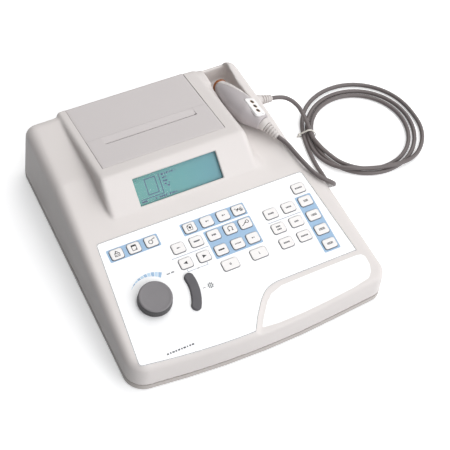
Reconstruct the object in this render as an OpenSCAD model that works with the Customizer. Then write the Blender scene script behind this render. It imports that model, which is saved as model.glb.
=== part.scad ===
// Desktop tympanometer: sloping key console, display and strip printer in a raised block,
// and a hand probe on a lead, lying in a cradle at the rear right.
// Millimetres. X runs to the right, Y to the rear, Z up. The origin is on the table under the middle of the case.

/* [Case] */
// Width of the case at its front corners
case_w = 342; // [336:1:346]
// Width of the case at its rear corners
case_rear_w = 333; // [329:1:337]
// Depth of the case over the bowed front edge
case_d = 387.3; // [384:0.1:390]
// How far the front edge bows out between its corners
front_bow = 9; // [6:0.5:11]
// Slope of the console towards the user, in degrees
console_angle = 9.5; // [9:0.1:10]
// Slope of the display face against the console, in degrees
face_angle = 30.7; // [30:0.1:31.4]
// Fall of the printer block's top towards the rear, in degrees
top_fall = 8.6; // [8.2:0.1:9]
// Thickness of the moulded case
wall = 3; // [2.6:0.1:3.2]
// Height of the seam between the tray and the upper case
seam_z = 10; // [9:0.5:11]

/* [Keys] */
// Width of a key cap in the left and middle groups
key_w = 16.4; // [15.6:0.1:16.8]
// Depth of a key cap
key_d = 14; // [13.4:0.1:14.4]
// Height of a key cap above the console
key_rise = 1.4; // [1:0.1:1.8]
// Travel of a key
key_travel = 1.5; // [1:0.1:1.5]
// Gap all round between a key and its cut-out
key_gap = 0.35; // [0.3:0.05:0.5]
// Thickness of the printed overlay
overlay_t = 0.5; // [0.4:0.1:0.5]

/* [Controls] */
// Diameter of the level knob at its foot
knob_d = 40.6; // [38:0.2:42]
// Height of the level knob above the console
knob_h = 12.5; // [11:0.5:14]
// Diameter of the knob's shaft
shaft_d = 6; // [5.8:0.1:6.2]
// Radial clearance of shafts and pins in their bearings
fit = 0.05; // [0.03:0.01:0.08]
// Width of the curved present bar
bar_w = 12; // [11:0.2:12.6]
// Travel of the present bar
bar_travel = 1.8; // [1.2:0.1:2]

/* [Printer] */
// Width of the printer door
door_w = 168; // [166:0.5:170]
// Gap around the door
door_gap = 0.5; // [0.4:0.1:0.8]
// Width of the paper roll
paper_w = 112; // [110:0.5:113]
// Diameter of a full paper roll
paper_d = 44; // [30:1:46]
// Module of the feed gears
gear_m = 0.8; // [0.8:0.05:0.85]

/* [Lead] */
// Diameter of the probe lead
lead_d = 6; // [5.6:0.1:6.2]

/* [Hidden] */

panel_o = [-52, -36.5, 72.3];   // a point of the console surface that the key grid is measured from
face_y = 43.2;                  // where the display face leaves the console, up the slope
row = 21.46;                    // pitch of the key rows
tray_z = 2;                     // underside of the tray, on top of the feet
tray_floor = tray_z + 3;
half_f = case_w / 2;
half_r = case_rear_w / 2;
y_r = 192;
y_f = y_r - case_d;
rear_top = 89.6;                // height of the case top along the rear edge
bend_y = 76;                    // where the console slope ends and the case top runs level
shell_col = [0.87, 0.86, 0.85];
key_col = [0.95, 0.95, 0.94];

function zp(y) = panel_o[2] + (y - panel_o[1]) * tan(console_angle);
function bow(x) = front_bow * pow((x - 12) / 137, 2);
corner_r = [154.5, y_f + 27.6, 20];  // the front right corner in plan: X, Y, radius

module on_panel() translate(panel_o) rotate([console_angle, 0, 0]) children();
module on_face() on_panel() translate([0, face_y, 0]) rotate([face_angle, 0, 0]) children();
module on_top() translate([0, 62, 110.3]) rotate([-top_fall, 0, 0]) children();

// rounded rectangle about the origin
module rr(w, d, r) offset(r, $fn = 20) square([w - 2 * r, d - 2 * r], center = true);

// a ball under the console plane, or under a level top, made smaller by t
module ball(x, y, z, r, t) translate([x, y, z]) sphere(r - t, $fn = 28);
module pball(x, y, r, t) ball(x, y, zp(y) - r / cos(console_angle), r, t);
module puck(x, y, r, t) translate([x, y, seam_z - (t > 0 ? 2 : 0)]) cylinder(r = r - t, h = t > 0 ? 3 : 1, $fn = 48);

// ---- outline of the case in plan, shared by the tray and the upper case ----
module foot_marks(t) {
  translate([-half_f + 26, y_f + 37.6]) circle(26 - t, $fn = 64);
  translate([corner_r[0], corner_r[1]]) circle(corner_r[2] - t, $fn = 64);
  for (x = [-100, -50, 0, 50, 100]) translate([x, y_f + bow(x) + 20]) circle(20 - t, $fn = 64);
  for (s = [-1, 1]) translate([s * (half_r - 18), y_r - 18]) circle(18 - t, $fn = 64);
}
module plan(t) hull() foot_marks(t);

// ---- solid form of the upper case, shrunk by t: wings and console, then the raised block ----
module front_pucks(t) {
  puck(-half_f + 26, y_f + 37.6, 26, t);
  puck(corner_r[0], corner_r[1], corner_r[2], t);
  for (x = [-100, -50, 0, 50, 100]) puck(x, y_f + bow(x) + 20, 20, t);
}
module front_balls(t) {
  for (a = [180, 203, 226, 248, 270]) pball(-half_f + 26 + 19.5 * cos(a), y_f + 37.6 + 19.5 * sin(a), 6, t);
  for (a = [-90, -60, -30, 0]) pball(corner_r[0] + 13.5 * cos(a), corner_r[1] + 13.5 * sin(a), 6, t);
  for (x = [-100, -50, 0, 50, 100]) pball(x, y_f + bow(x) + 0.5 + 6, 6, t);
}
module form_front(t) hull() {
  front_pucks(t);
  for (s = [-1, 1]) puck(s * (half_f - 22), -20, 20, t);
  front_balls(t);
  pball(-153.6, -20, 11.5, t);
  pball(154.5, -34, 11.5, t);
  pball(150, -20, 11.5, t);
}
module form_rear(t) hull() {
  puck(-half_f + 22, -60, 20, t);
  puck(half_f - 22, -60, 20, t);
  for (s = [-1, 1]) puck(s * (half_r - 18), y_r - 18, 18, t);
  pball(-155.9, -60, 10.5, t);
  pball(-148, bend_y - 2, 14, t);
  ball(-144, y_r - 17.5, rear_top - 16, 16, t);
  pball(142, -60, 12, t);
  pball(138, 6, 13, t);
  pball(134, bend_y - 2, 14, t);
  ball(130, y_r - 16.8, rear_top - 13.6, 16, t);
}
// a ball that touches both the display face and the block's top
module crest(x, r, t) ball(x, 45.5 + 0.2987 * r, 112.8 - 1.0565 * r, r, t);
module rear_ball(x, r, t) ball(x, y_r - 0.5 - r, 110.3 - tan(top_fall) * (y_r - 0.5 - r - 62) - r / cos(top_fall), r, t);
module form_block(t) hull() {
  crest(-106, 6, t);
  crest(81, 10, t);
  rear_ball(-107, 6, t);
  rear_ball(82, 10, t);
  for (p = [[-109, 6], [85, 10]]) {
    ball(p[0], -17 + 0.645 * p[1], 60 - 0.764 * p[1], p[1], t);
    ball(p[0], y_r - 1 - p[1], 50, p[1], t);
  }
}
// the cradle recess, grown by t
module recess(t) {
  hull() for (p = [[101.5, 150, 88, 8], [120.3, 150, 88, 8], [102.5, -8, 85.5, 8], [132, -8, 85.5, 8]]) {
    ball(p[0], p[1], p[2], p[3], -t);
    translate([p[0], p[1], p[2]]) cylinder(r = p[3] + t, h = 60, $fn = 28);
  }
  // deeper pocket behind the nose
  hull() for (p = [[98.5, 182.5, 62, 3], [128.3, 182.5, 62, 3], [98.5, 140, 78, 3], [125.3, 140, 78, 3]]) {
    ball(p[0], p[1], p[2], p[3], -t);
    translate([p[0], p[1], p[2]]) cylinder(r = p[3] + t, h = 80, $fn = 28);
  }
  // the end wall stands lower than the rim
  translate([96, 172, 83 - t]) cube([34 + t, 60, 40]);
}
// room for the probe's belly and flanks in the recess walls
module belly(t) {
  hull() { ball(108.5, 150, 83.5, 10, -t); ball(109.5, 112, 93, 16.5, -t); ball(109.5, 112, 125, 16.5, -t); ball(108.5, 150, 125, 10, -t); }
  hull() { ball(109.5, 112, 93, 16.5, -t); ball(113, 90, 95, 17.5, -t); ball(109.5, 112, 125, 16.5, -t); ball(113, 90, 125, 17.5, -t); }
  hull() { ball(113, 90, 95, 17.5, -t); ball(122, 60, 93, 11, -t); ball(113, 90, 125, 17.5, -t); ball(122, 60, 125, 11, -t); }
}
// the steeper facet at the front right, down to depth t below its face
module facet(t) on_panel() hull() {
  translate([0, 0, 0.4 - t]) linear_extrude(20) polygon([[92, -107.2], [212, -107.2], [260, -240], [10, -240], [37.8, -155.4], [48.2, -139.5], [61.7, -122.5], [74.2, -111.8]]);
  // sloping bed, deepest at its front left
  translate([124, -130, -2.2 - t]) rotate([2.4, -1.1, 0]) translate([-124, 130, 0])
    linear_extrude(1) polygon([[94, -111.5], [212, -111.5], [260, -240], [16, -240], [43.5, -155.4], [53.4, -140.5], [66, -125], [77.5, -115.8]]);
}

// ---- the key grid: x, y on the console, width, group ----
key_at = [
  [-73.5, -0.5, key_w], [-51, -0.5, key_w], [-28.3, -0.5, key_w],
  [23.2, -0.8, key_w], [46.4, -0.8, key_w], [69, -0.8, key_w], [90, -0.8, key_w],
  [-1.5, -21, key_w], [22.8, -21, key_w], [46.4, -21, key_w], [69, -21, key_w], [90, -21, key_w],
  [-1.5, -42.8, key_w], [22.8, -42.8, key_w], [46.4, -42.8, key_w], [69, -42.8, key_w], [90, -42.8, key_w],
  [48.2, -64.5, 21.6], [87.4, -64.5, 21.6],
  [126, -21, 17.6], [126, -42.8, 17.6], [126, -64.5, 17.6],
  [151.2, -21, 17.6], [151.2, -42.8, 17.6], [151.2, -64.5, 17.6],
  [176, -1, 17.6], [176, -21, 17.6], [176, -42.8, 17.6], [176, -64.5, 17.6], [176, -86, 17.6]];

knob_at = [-56.5, -73.5];
bar_c = [-61, -70];   // centre of the present bar's curve
bar_r = 55.2;
bar_a0 = -31;
bar_a1 = 8.3;

// outline of the printed overlay, with its front edge bowed like the case
overlay_pts = concat(
  [for (a = [90:15:180]) [-87 + 4.5 * cos(a), 16.5 + 4.5 * sin(a)]],
  [[-100, -80]],
  [for (a = [180:18:262]) [-100.5 + 6 * cos(a), -136 + 6 * sin(a)]],
  [for (x = [-84:20:26]) [x, -155.6 + 13.4 * pow((x - 51) / 153, 2)]],
  [[37.5, -155.2], [48, -139.5], [61.5, -122.5], [67, -117], [74, -111.8], [82, -108.6], [92, -107], [203.6, -107]],
  [for (a = [0:15:90]) [186.5 + 5 * cos(a), 15.5 + 5 * sin(a)]]);

module key_prisms(grow, h0, h1) for (k = key_at) translate([k[0], k[1], h0]) linear_extrude(h1 - h0) rr(k[2] + 2 * grow, key_d + 2 * grow, 3 + grow);
function arc_pts(c, r, a0, a1, n) = [for (i = [0:n]) let (a = a0 + (a1 - a0) * i / n) [c[0] + r * cos(a), c[1] + r * sin(a)]];
// outline of the curved bar: two arcs and two round ends
function bar_pts(w) = concat(
  arc_pts([0, 0], bar_r + w / 2, bar_a0, bar_a1, 16),
  arc_pts([bar_r * cos(bar_a1), bar_r * sin(bar_a1)], w / 2, bar_a1 + 15, bar_a1 + 165, 10),
  arc_pts([0, 0], bar_r - w / 2, bar_a1, bar_a0, 16),
  arc_pts([bar_r * cos(bar_a0), bar_r * sin(bar_a0)], w / 2, bar_a0 + 195, bar_a0 + 345, 10));
module bar_shape(w, h) linear_extrude(h) polygon(bar_pts(w));

screw_xy = [[-150, -140], [150, -140], [-147, 170], [147, 170]];
inlet_x = -118;
door_x = -16;      // middle of the door
door_y1 = 124.4;   // how far the door's top runs back along the slope

module top_housing() color(shell_col) difference() {
  union() {
    difference() {
      union() { form_front(0); form_rear(0); form_block(0); }
      difference() {
        difference() { union() { form_front(wall); form_rear(wall); form_block(wall); } recess(wall); belly(wall + 0.8); facet(wall); }
        // pillars for the case screws
        for (p = screw_xy) translate([p[0], p[1], seam_z - 3]) cylinder(d = 9, h = 100, $fn = 32);
      }
    }
  }
  recess(0);
  belly(0.8);
  facet(0);
  // bed of the overlay, key cut-outs, bar slot and knob hole
  on_panel() {
    translate([0, 0, -overlay_t - 0.1]) linear_extrude(10) offset(0.25, $fn = 20) polygon(overlay_pts);
    key_prisms(key_gap, -8, 4);
    translate([bar_c[0], bar_c[1], -8]) bar_shape(bar_w + 2 * key_gap, 12);
    translate([knob_at[0], knob_at[1], -8]) cylinder(d = 10.4, h = 12, $fn = 40);
  }
  // display opening
  on_face() translate([-20.5, 4.5, -10]) cube([114, 35.5, 16]);
  // printer door opening, over the top and down the rear wall
  on_top() translate([door_x - door_w / 2 - door_gap, 1 - door_gap, -14]) cube([door_w + 2 * door_gap, 160, 40]);
  translate([door_x - door_w / 2 - door_gap, y_r - 14, 71.6]) cube([door_w + 2 * door_gap, 30, 40]);
  // pilot holes of the case screws
  for (p = screw_xy) translate([p[0], p[1], 0]) cylinder(d = 3.1, h = 34, $fn = 24);
  // rear opening for the mains inlet, and the round hole for the probe lead's socket at the right
  translate([inlet_x - 15, y_r - 12, 17]) cube([30, 30, 50]);
  translate(plug_at) rotate([0, 90 + plug_drop, plug_turn]) translate([0, 0, -16]) cylinder(d = 17, h = 40, $fn = 40);
}

module base_tray() color([0.8, 0.79, 0.78]) difference() {
  union() {
    difference() {
      translate([0, 0, tray_z]) linear_extrude(seam_z - tray_z) plan(0);
      translate([0, 0, tray_floor]) linear_extrude(20) plan(wall + 1.4);
    }
    // lip that centres the upper case, and the posts that carry the boards, printer and pump
    translate([0, 0, tray_floor - 0.5]) linear_extrude(seam_z + 2 - tray_floor + 0.5) difference() { plan(wall + 0.8); plan(wall + 2.8); }
    for (p = screw_xy) translate([p[0], p[1], tray_floor - 0.5]) cylinder(d = 11, h = seam_z - tray_floor + 0.5, $fn = 40);
    for (p = [[-110, -110], [60, -110], [-110, 20], [60, 20]]) translate([p[0], p[1], tray_floor - 0.5]) cylinder(d = 8, h = 18 - tray_floor + 0.5, $fn = 32);
    for (p = [[-74.5, 70], [-74.5, 172], [43.5, 70], [43.5, 172]]) translate([p[0], p[1], tray_floor - 0.5]) cylinder(d = 9, h = 12 - tray_floor + 0.5, $fn = 32);
    for (p = [[88, 30], [130, 30], [88, 112], [130, 112]]) translate([p[0], p[1], tray_floor - 0.5]) cylinder(d = 8, h = 10 - tray_floor + 0.5, $fn = 32);
  }
  for (p = screw_xy) translate([p[0], p[1], 0]) { cylinder(d = 3.4, h = 30, $fn = 24); cylinder(d = 7.4, h = tray_z + 2.8, $fn = 32); }
  // the upper case leans in over this stretch, so the lip stops short of it
  translate([156, -120, seam_z]) cube([18, 260, 6]);
}

module rubber_feet() color([0.15, 0.15, 0.16]) for (s = [-1, 1], y = [-150, 160]) translate([s * (y < 0 ? 132 : 128), y, 0])
  union() { cylinder(r1 = 9, r2 = 10, h = 2, $fn = 48); }

module case_screws() color([0.6, 0.6, 0.62]) for (p = screw_xy) translate([p[0], p[1], 0]) difference() {
  union() { translate([0, 0, 2.2]) cylinder(d = 6.8, h = 2.6, $fn = 32); translate([0, 0, 4.7]) cylinder(d = 2.9, h = 25, $fn = 24); }
  translate([0, 0, 2]) for (a = [0, 90]) rotate([0, 0, a]) translate([-2, -0.5, 0]) cube([4, 1, 1.6]);
}

module keypad_overlay() color([0.97, 0.97, 0.97]) on_panel() difference() {
  translate([0, 0, -overlay_t - 0.1]) linear_extrude(overlay_t) polygon(overlay_pts);
  key_prisms(key_gap, -2, 2);
  translate([bar_c[0], bar_c[1], -2]) bar_shape(bar_w + 2 * key_gap, 4);
  translate([knob_at[0], knob_at[1], -2]) cylinder(d = 10.4, h = 4, $fn = 40);
}

// switch board under the keys, with a dome under each, the bar's switch and the knob's encoder
module keypad_board() color([0.12, 0.42, 0.24]) on_panel() {
  difference() {
    union() {
      translate([-82, -104, -12.4]) cube([268, 112, 1.6]);
      for (k = key_at) translate([k[0], k[1], -10.9]) cylinder(d = 6, h = 1.5, $fn = 32);
      translate([knob_at[0] - 6.5, knob_at[1] - 6.5, -10.9]) cube([13, 13, 6.6]);
      translate([knob_at[0], knob_at[1], -4.4]) cylinder(d = 9.4, h = 5.6, $fn = 40);
      for (a = [-25, 2]) translate([bar_c[0] + bar_r * cos(a), bar_c[1] + bar_r * sin(a), -10.9]) cylinder(d = 5, h = 1.2, $fn = 32);
    }
    translate([knob_at[0], knob_at[1], -9]) cylinder(d = shaft_d + 2 * fit, h = 20, $fn = 40);
  }
}

module level_knob() color([0.42, 0.41, 0.42]) on_panel() translate([knob_at[0], knob_at[1], 0]) difference() {
  union() {
    rotate_extrude($fn = 96) polygon([[0, 0.5], [knob_d / 2, 0.5], [knob_d / 2, 2.2], [knob_d / 2 - 0.9, knob_h - 1.4], [knob_d / 2 - 2.2, knob_h], [0, knob_h]]);
    translate([0, 0, -8.4]) cylinder(d = shaft_d, h = 12, $fn = 40);
  }
  translate([0, 0, -0.1]) difference() { cylinder(d = 12, h = 3, $fn = 40); translate([0, 0, -1]) cylinder(d = shaft_d, h = 6, $fn = 40); }
}

module present_bar() color([0.42, 0.42, 0.44]) on_panel() translate([bar_c[0], bar_c[1], 0]) {
  translate([0, 0, -4]) bar_shape(bar_w, 6.6);
  translate([0, 0, 2.4]) bar_shape(bar_w - 1.6, 1);
  translate([0, 0, -4.6]) bar_shape(bar_w + 3, 1.4);
  for (a = [-25, 2]) translate([bar_r * cos(a), bar_r * sin(a), -7.4]) cylinder(d = 4, h = 3.2, $fn = 32);
}

// one key: cap, retaining flange under the case wall, and the stem over its switch
module key(i) color(key_col) on_panel() translate([key_at[i][0], key_at[i][1], 0]) {
  translate([0, 0, -4.2]) linear_extrude(key_rise + 3.5) rr(key_at[i][2], key_d, 3);
  translate([0, 0, key_rise - 0.7]) linear_extrude(0.7) rr(key_at[i][2] - 1, key_d - 1, 2.6);
  translate([0, 0, -4.4]) linear_extrude(1.2) rr(key_at[i][2] + 3, key_d + 3, 3);
  translate([0, 0, -7.6]) cylinder(d = 5, h = 3.4, $fn = 32);
}

module lcd_window() color([0.8, 0.9, 0.9, 0.4]) on_face() translate([-24, 1, -wall - 1.6]) cube([121, 42.5, 1.4]);

module lcd_module() color([0.45, 0.72, 0.70]) on_face() difference() {
  union() {
    translate([-26, -1, -wall - 6.6]) cube([125, 46.5, 4.8]);
    translate([-30, -3, -wall - 8.2]) cube([133, 50.5, 1.7]);
  }
  translate([-21.5, 3.5, -wall - 2.4]) cube([116, 37.5, 2]);
}

// ---- printer ----
door_t = 2.4;
hinge = [183, 83];     // Y and Z of the door's hinge line
platen = [98, 91.4];
pinion = [98, 78.6];
roll = [146, 52];
plate_l = -76;         // outer face of the left side plate
plate_r = 45;          // outer face of the right side plate

// section of the door in Y and Z: plane top, rounded rear edge, short skirt down the rear
function on_top_yz(y, z) = [62 + y * cos(top_fall) + z * sin(top_fall), 110.3 - y * sin(top_fall) + z * cos(top_fall)];
roll_c = [183.86, 84.19];
door_section = concat(
  [on_top_yz(1, -door_t), on_top_yz(1, 0)],
  arc_pts(roll_c, 7.6, 90 - top_fall, 0, 9),
  [[roll_c[0] + 7.6, 76], [roll_c[0] + 5.2, 76]],
  arc_pts(roll_c, 5.2, 0, 90 - top_fall, 9));

module printer_door() color([0.85, 0.84, 0.83]) {
  difference() {
    union() {
      translate([door_x - door_w / 2, 0, 0]) rotate([90, 0, 90]) linear_extrude(door_w) polygon(door_section);
      // hinge ears outside the side plates
      for (x = [plate_l - 4, plate_r + 1]) translate([x, hinge[0], hinge[1]]) rotate([0, 90, 0]) {
        cylinder(d = 8, h = 3, $fn = 40);
        translate([-7.4, -1.5, 0]) cube([7.4, 3, 3]);
      }
      translate([plate_l - 1.5, hinge[0], hinge[1]]) rotate([0, 90, 0]) cylinder(d = 4, h = 3.6, $fn = 32);
      translate([plate_r - 2.1, hinge[0], hinge[1]]) rotate([0, 90, 0]) cylinder(d = 4, h = 3.6, $fn = 32);
    }
    // paper slot and the shallow step behind it
    on_top() { translate([-79.5, 41.2, -5]) cube([127.5, 2.6, 10]); translate([-79.5, 43.7, -0.8]) cube([127.5, 4.2, 2]); }
  }
}

module side_plate(x) translate([x, 0, 0]) rotate([90, 0, 90]) linear_extrude(3)
  union() {
    polygon([[64, 12], [175, 12], [175, 78], [183, 77.7], [183, 88.3], [176, 88.3], [120, 94], [110, 97.5], [96, 99.6], [74, 99.6], [66, 90]]);
    translate([183, 83]) circle(r = 5.3, $fn = 48);
  }

module printer_frame() color([0.3, 0.3, 0.32]) difference() {
  union() {
    side_plate(plate_l);
    side_plate(plate_r - 3);
    translate([plate_l, 66, 12]) cube([plate_r - plate_l, 109, 2.5]);
    translate([plate_l, 172.5, 12]) cube([plate_r - plate_l, 2.5, 50]);
    translate([plate_l, 118, 12]) cube([plate_r - plate_l, 2.5, 14]);
    for (x = [plate_l + 3 - 0.1, plate_r - 3 - 5]) translate([x, roll[0], roll[1]]) rotate([0, 90, 0]) cylinder(d = 12 - 2 * fit, h = 5.1, $fn = 48);
  }
  for (p = [platen]) translate([plate_l - 1, p[0], p[1]]) rotate([0, 90, 0]) cylinder(d = 4 + 2 * fit, h = 200, $fn = 32);
  translate([plate_r - 4, pinion[0], pinion[1]]) rotate([0, 90, 0]) cylinder(d = 5.4, h = 8, $fn = 32);
  translate([plate_l - 1, hinge[0], hinge[1]]) rotate([0, 90, 0]) cylinder(d = 4 + 2 * fit, h = 200, $fn = 32);
}

module print_head() color([0.55, 0.55, 0.57]) {
  translate([plate_l + 3, 82.5, 87]) cube([plate_r - plate_l - 6, 9.2, 7]);
  translate([plate_l + 20, 74, 93.2]) cube([plate_r - plate_l - 40, 12, 3]);
}

// straight-flanked gear teeth, slim enough to run with backlash
module gear2d(n, ph = 0) {
  rp = n * gear_m / 2;
  ro = rp + 0.8 * gear_m;
  ri = rp - 1.15 * gear_m;
  polygon([for (i = [0:n - 1]) for (q = [[-0.27, ri], [-0.12, ro], [0.12, ro], [0.27, ri]])
    let (a = 360 / n * (i + q[0]) + ph) [q[1] * cos(a), q[1] * sin(a)]]);
}

mesh_dir = atan2(pinion[1] - platen[1], pinion[0] - platen[0]);
module platen_roller() color([0.2, 0.2, 0.22]) {
  translate([plate_l + 4, platen[0], platen[1]]) rotate([0, 90, 0]) cylinder(d = 12, h = plate_r - plate_l - 8, $fn = 64);
  translate([plate_l + 0.2, platen[0], platen[1]]) rotate([0, 90, 0]) cylinder(d = 4, h = plate_r - plate_l + 5, $fn = 32);
  translate([plate_r + 0.8, platen[0], platen[1]]) rotate([90, 0, 90]) linear_extrude(3.6) gear2d(20, mesh_dir);
}

module drive_gear() color([0.9, 0.88, 0.8]) {
  translate([plate_r + 0.8, pinion[0], pinion[1]]) rotate([90, 0, 90]) linear_extrude(3.6) gear2d(12, mesh_dir + 180 + 15);
  // motor shaft
  translate([plate_r - 3 - 16, pinion[0], pinion[1]]) rotate([0, 90, 0]) cylinder(d = 2, h = 24.5, $fn = 32);
}

module feed_motor() color([0.65, 0.65, 0.67]) difference() {
  union() {
    translate([plate_r - 3 - 20, pinion[0], pinion[1]]) rotate([0, 90, 0]) cylinder(d = 13, h = 20, $fn = 64);
    translate([plate_r - 3.1, pinion[0], pinion[1]]) rotate([0, 90, 0]) cylinder(d = 5, h = 2.6, $fn = 40);
  }
  translate([plate_r - 3 - 16.4, pinion[0], pinion[1]]) rotate([0, 90, 0]) cylinder(d = 2 + 2 * fit, h = 30, $fn = 32);
}

module paper_roll() color([0.97, 0.97, 0.95]) translate([door_x + 0.5 - paper_w / 2, roll[0], roll[1]]) rotate([0, 90, 0]) difference() {
  cylinder(d = paper_d, h = paper_w, $fn = 96);
  translate([0, 0, -1]) cylinder(d = 12, h = paper_w + 2, $fn = 48);
}

// ---- electronics and pump ----
module main_board() color([0.1, 0.38, 0.2]) {
  translate([-120, -120, 18]) cube([190, 150, 1.6]);
  for (c = [[-90, -90, 22, 22, 3], [-40, -60, 30, 30, 4], [20, -80, 14, 40, 3.5], [-95, -20, 26, 14, 4], [20, -10, 18, 18, 8]])
    translate([c[0], c[1], 19.4]) cube([c[2], c[3], c[4] + 0.2]);
  for (p = [[50, -40], [50, -22], [-60, 5], [-110, 10]]) translate([p[0], p[1], 19.4]) cylinder(d = 10, h = 14, $fn = 40);
  translate([-118, -118, 19.4]) cube([8, 60, 9]);
}

module air_pump() color([0.35, 0.37, 0.4]) {
  translate([82, 24, 10]) cube([54, 94, 3]);
  translate([109, 40, 31]) rotate([-90, 0, 0]) cylinder(d = 34, h = 42, $fn = 64);
  translate([91, 81.9, 12.9]) cube([36, 26, 34]);
  translate([109, 107.8, 34]) rotate([-90, 0, 0]) cylinder(d = 5, h = 10, $fn = 32);
  translate([97, 44, 12.9]) cube([24, 30, 4]);
}

module power_inlet() color([0.1, 0.1, 0.11]) difference() {
  union() {
    translate([inlet_x - 14.6, y_r - 25, 17.4]) cube([29.2, 24.6, 49.2]);
    translate([inlet_x - 17, y_r - 6.6, 15.4]) cube([34, 1.8, 53.2]);
  }
  // pin well and the rocker's well
  translate([inlet_x - 12, y_r - 17, 21]) cube([24, 30, 17]);
  translate([inlet_x - 7.4, y_r - 17, 43]) cube([14.8, 30, 21]);
  // pivot of the rocker
  translate([inlet_x - 10, y_r - 8, 53.5]) rotate([0, 90, 0]) cylinder(d = 3 + 2 * fit, h = 20, $fn = 32);
}

module power_switch() color([0.12, 0.12, 0.13]) translate([inlet_x, y_r - 8, 53.5]) rotate([8, 0, 0]) {
  translate([-6.9, -4, -8.6]) cube([13.8, 8.6, 17.2]);
  translate([-9.6, 0, 0]) rotate([0, 90, 0]) cylinder(d = 3, h = 19.2, $fn = 32);
}

// ---- probe, lying nose to the rear ----
// x, y, z, half width, half height along the probe
stations = [[108.3, 151, 83.2, 9.4, 9.4], [108.8, 136, 87.4, 13.2, 12], [109.8, 118, 91, 16, 14.2], [111.6, 100, 93.6, 17.6, 15.2],
  [115.2, 85, 95.4, 17.2, 15], [120, 72, 95.4, 13.6, 12.4], [123.6, 62.6, 94.8, 10.6, 10]];
module slice(s, t) translate([s[0], s[1], s[2]]) resize([2 * (s[3] - t), t > 0 ? 2 : 1.2, 2 * (s[4] - t)]) sphere(10, $fn = 28);
module probe_form(t) for (i = [0:len(stations) - 2]) hull() { slice(stations[i], t); slice(stations[i + 1], t); }
// the seam between the two halves stands upright and runs aslant from the nose to the lamp panel
module part_plane(right) translate([114.2, 124.4, 90]) rotate([0, 0, 21.8]) translate([right ? 0.05 : -100.05, -150, -100]) cube([100, 300, 200]);
module probe_half(up) intersection() {
  difference() {
    probe_form(0);
    probe_form(2);
    // both ends are trimmed square to the pieces that close them
    translate([108.3, 151.6, 83.1]) rotate([-90 - 16, 0, 0]) translate([0, 0, -0.05]) cylinder(r = 15, h = 20, $fn = 32);
    translate([124, 61.9, 94.8]) rotate([0, 0, 21]) rotate([90 + 12, 0, 0]) translate([0, 0, -0.05]) cylinder(r = 15, h = 20, $fn = 32);
  }
  part_plane(up);
}
lamp_o = [121.6, 81.5, 107.4];   // middle of the lamp panel
module on_lamps() translate(lamp_o) rotate([0, 0, 3]) rotate([0, 24, 0]) children();

module lamp_cut() on_lamps() translate([0, 0, -4]) linear_extrude(12) rr(17.6, 33.6, 5);
module probe_shell() color([0.62, 0.62, 0.64]) difference() { probe_half(false); lamp_cut(); }
module probe_cover() color([0.82, 0.82, 0.82]) difference() { probe_half(true); lamp_cut(); }
module probe_panel() color([0.95, 0.95, 0.95]) on_lamps() {
  difference() {
    translate([0, 0, -3]) linear_extrude(3.6) rr(17, 33, 4.7);
    for (i = [-1, 0, 1]) translate([0.6 * i, 0.5 + 8.6 * i, 0.3]) cylinder(d = 3.4, h = 4, $fn = 32);
  }
}
module probe_nose() color([0.62, 0.33, 0.12]) translate([108.3, 151.6, 83.1]) rotate([-90 - 16, 0, 0]) difference() {
  union() { cylinder(r = 10.2, h = 4, $fn = 64); translate([0, 0, 3.9]) cylinder(r1 = 5.4, r2 = 3.6, h = 6, $fn = 48); }
  translate([0, 0, 5]) cylinder(d = 3, h = 10, $fn = 32);
}
module probe_strain_relief() color([0.8, 0.8, 0.8]) translate([124, 61.9, 94.8]) rotate([0, 0, 21]) rotate([90 + 12, 0, 0]) difference() {
  union() {
    cylinder(r1 = 9.4, r2 = 8, h = 7, $fn = 48);
    for (i = [0:4]) translate([0, 0, 6.9 + 4 * i]) { cylinder(r = 4.6 - 0.15 * i, h = 4.1, $fn = 40); translate([0, 0, 0.8]) cylinder(r = 7.4 - 0.6 * i, h = 2.2, $fn = 40); }
  }
}

// ---- lead: plug in the right side, three loose turns on the table, and up to the probe ----
plug_at = [157.4, 143.5, 42];
plug_drop = 12;
plug_turn = 0;
module side_connector() color([0.78, 0.78, 0.79]) translate(plug_at) rotate([0, 90 + plug_drop, plug_turn]) {
  translate([0, 0, -12]) cylinder(d = 16.6, h = 22, $fn = 48);
  for (i = [0:4]) translate([0, 0, 9.9 + 4 * i]) { cylinder(r = 4.6 - 0.1 * i, h = 4.1, $fn = 40); translate([0, 0, 0.8]) cylinder(r = 7 - 0.5 * i, h = 2.2, $fn = 40); }
}
coil_c = [290, 62];
coil_in = 64;
coil_out = 91;
module cord_coil() color([0.44, 0.41, 0.42]) translate([coil_c[0], coil_c[1], 0]) rotate_extrude($fn = 96)
  polygon([[coil_in, 3], [coil_in + 2, 1], [coil_out - 2, 1], [coil_out, 3], [coil_out, 12], [coil_out - 3, 15], [coil_in + 3, 15], [coil_in, 12]]);
module cable_tie() color([0.9, 0.9, 0.88]) translate([coil_c[0], coil_c[1], 0]) rotate([0, 0, 161]) translate([(coil_in + coil_out) / 2, 0, 0]) difference() {
  translate([-15.2, -1.8, 0.1]) cube([30.4, 3.6, 16.3]);
  translate([-14, -3, 0.8]) cube([28, 6, 14.5]);
}

// points of the two free stretches, by hand: probe to the turns, and plug to the turns
lead_a = [[133.7, 36.7, 89], [139.4, 24.3, 86.8], [143.2, 6.5, 84], [147.3, -10.9, 81], [152, -26.6, 78.2], [157.5, -36.5, 76.2], [164.5, -43, 73.5], [171.5, -45.5, 68],
  [175.6, -43, 60.5], [180, -35.6, 50], [185.4, -26.7, 36], [190.9, -17.7, 22], [195.6, -8, 10.4], [199, 4, 4.8], [200.6, 16, 3.2], [201, 31, 3.2]];
lead_b = [[187.4, 143.5, 35.6], [196, 142.6, 34.4], [206, 139, 33.4], [214, 132, 31], [219.6, 123, 26.4], [221.6, 114, 21.6], [221.6, 106, 18.4]];

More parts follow.
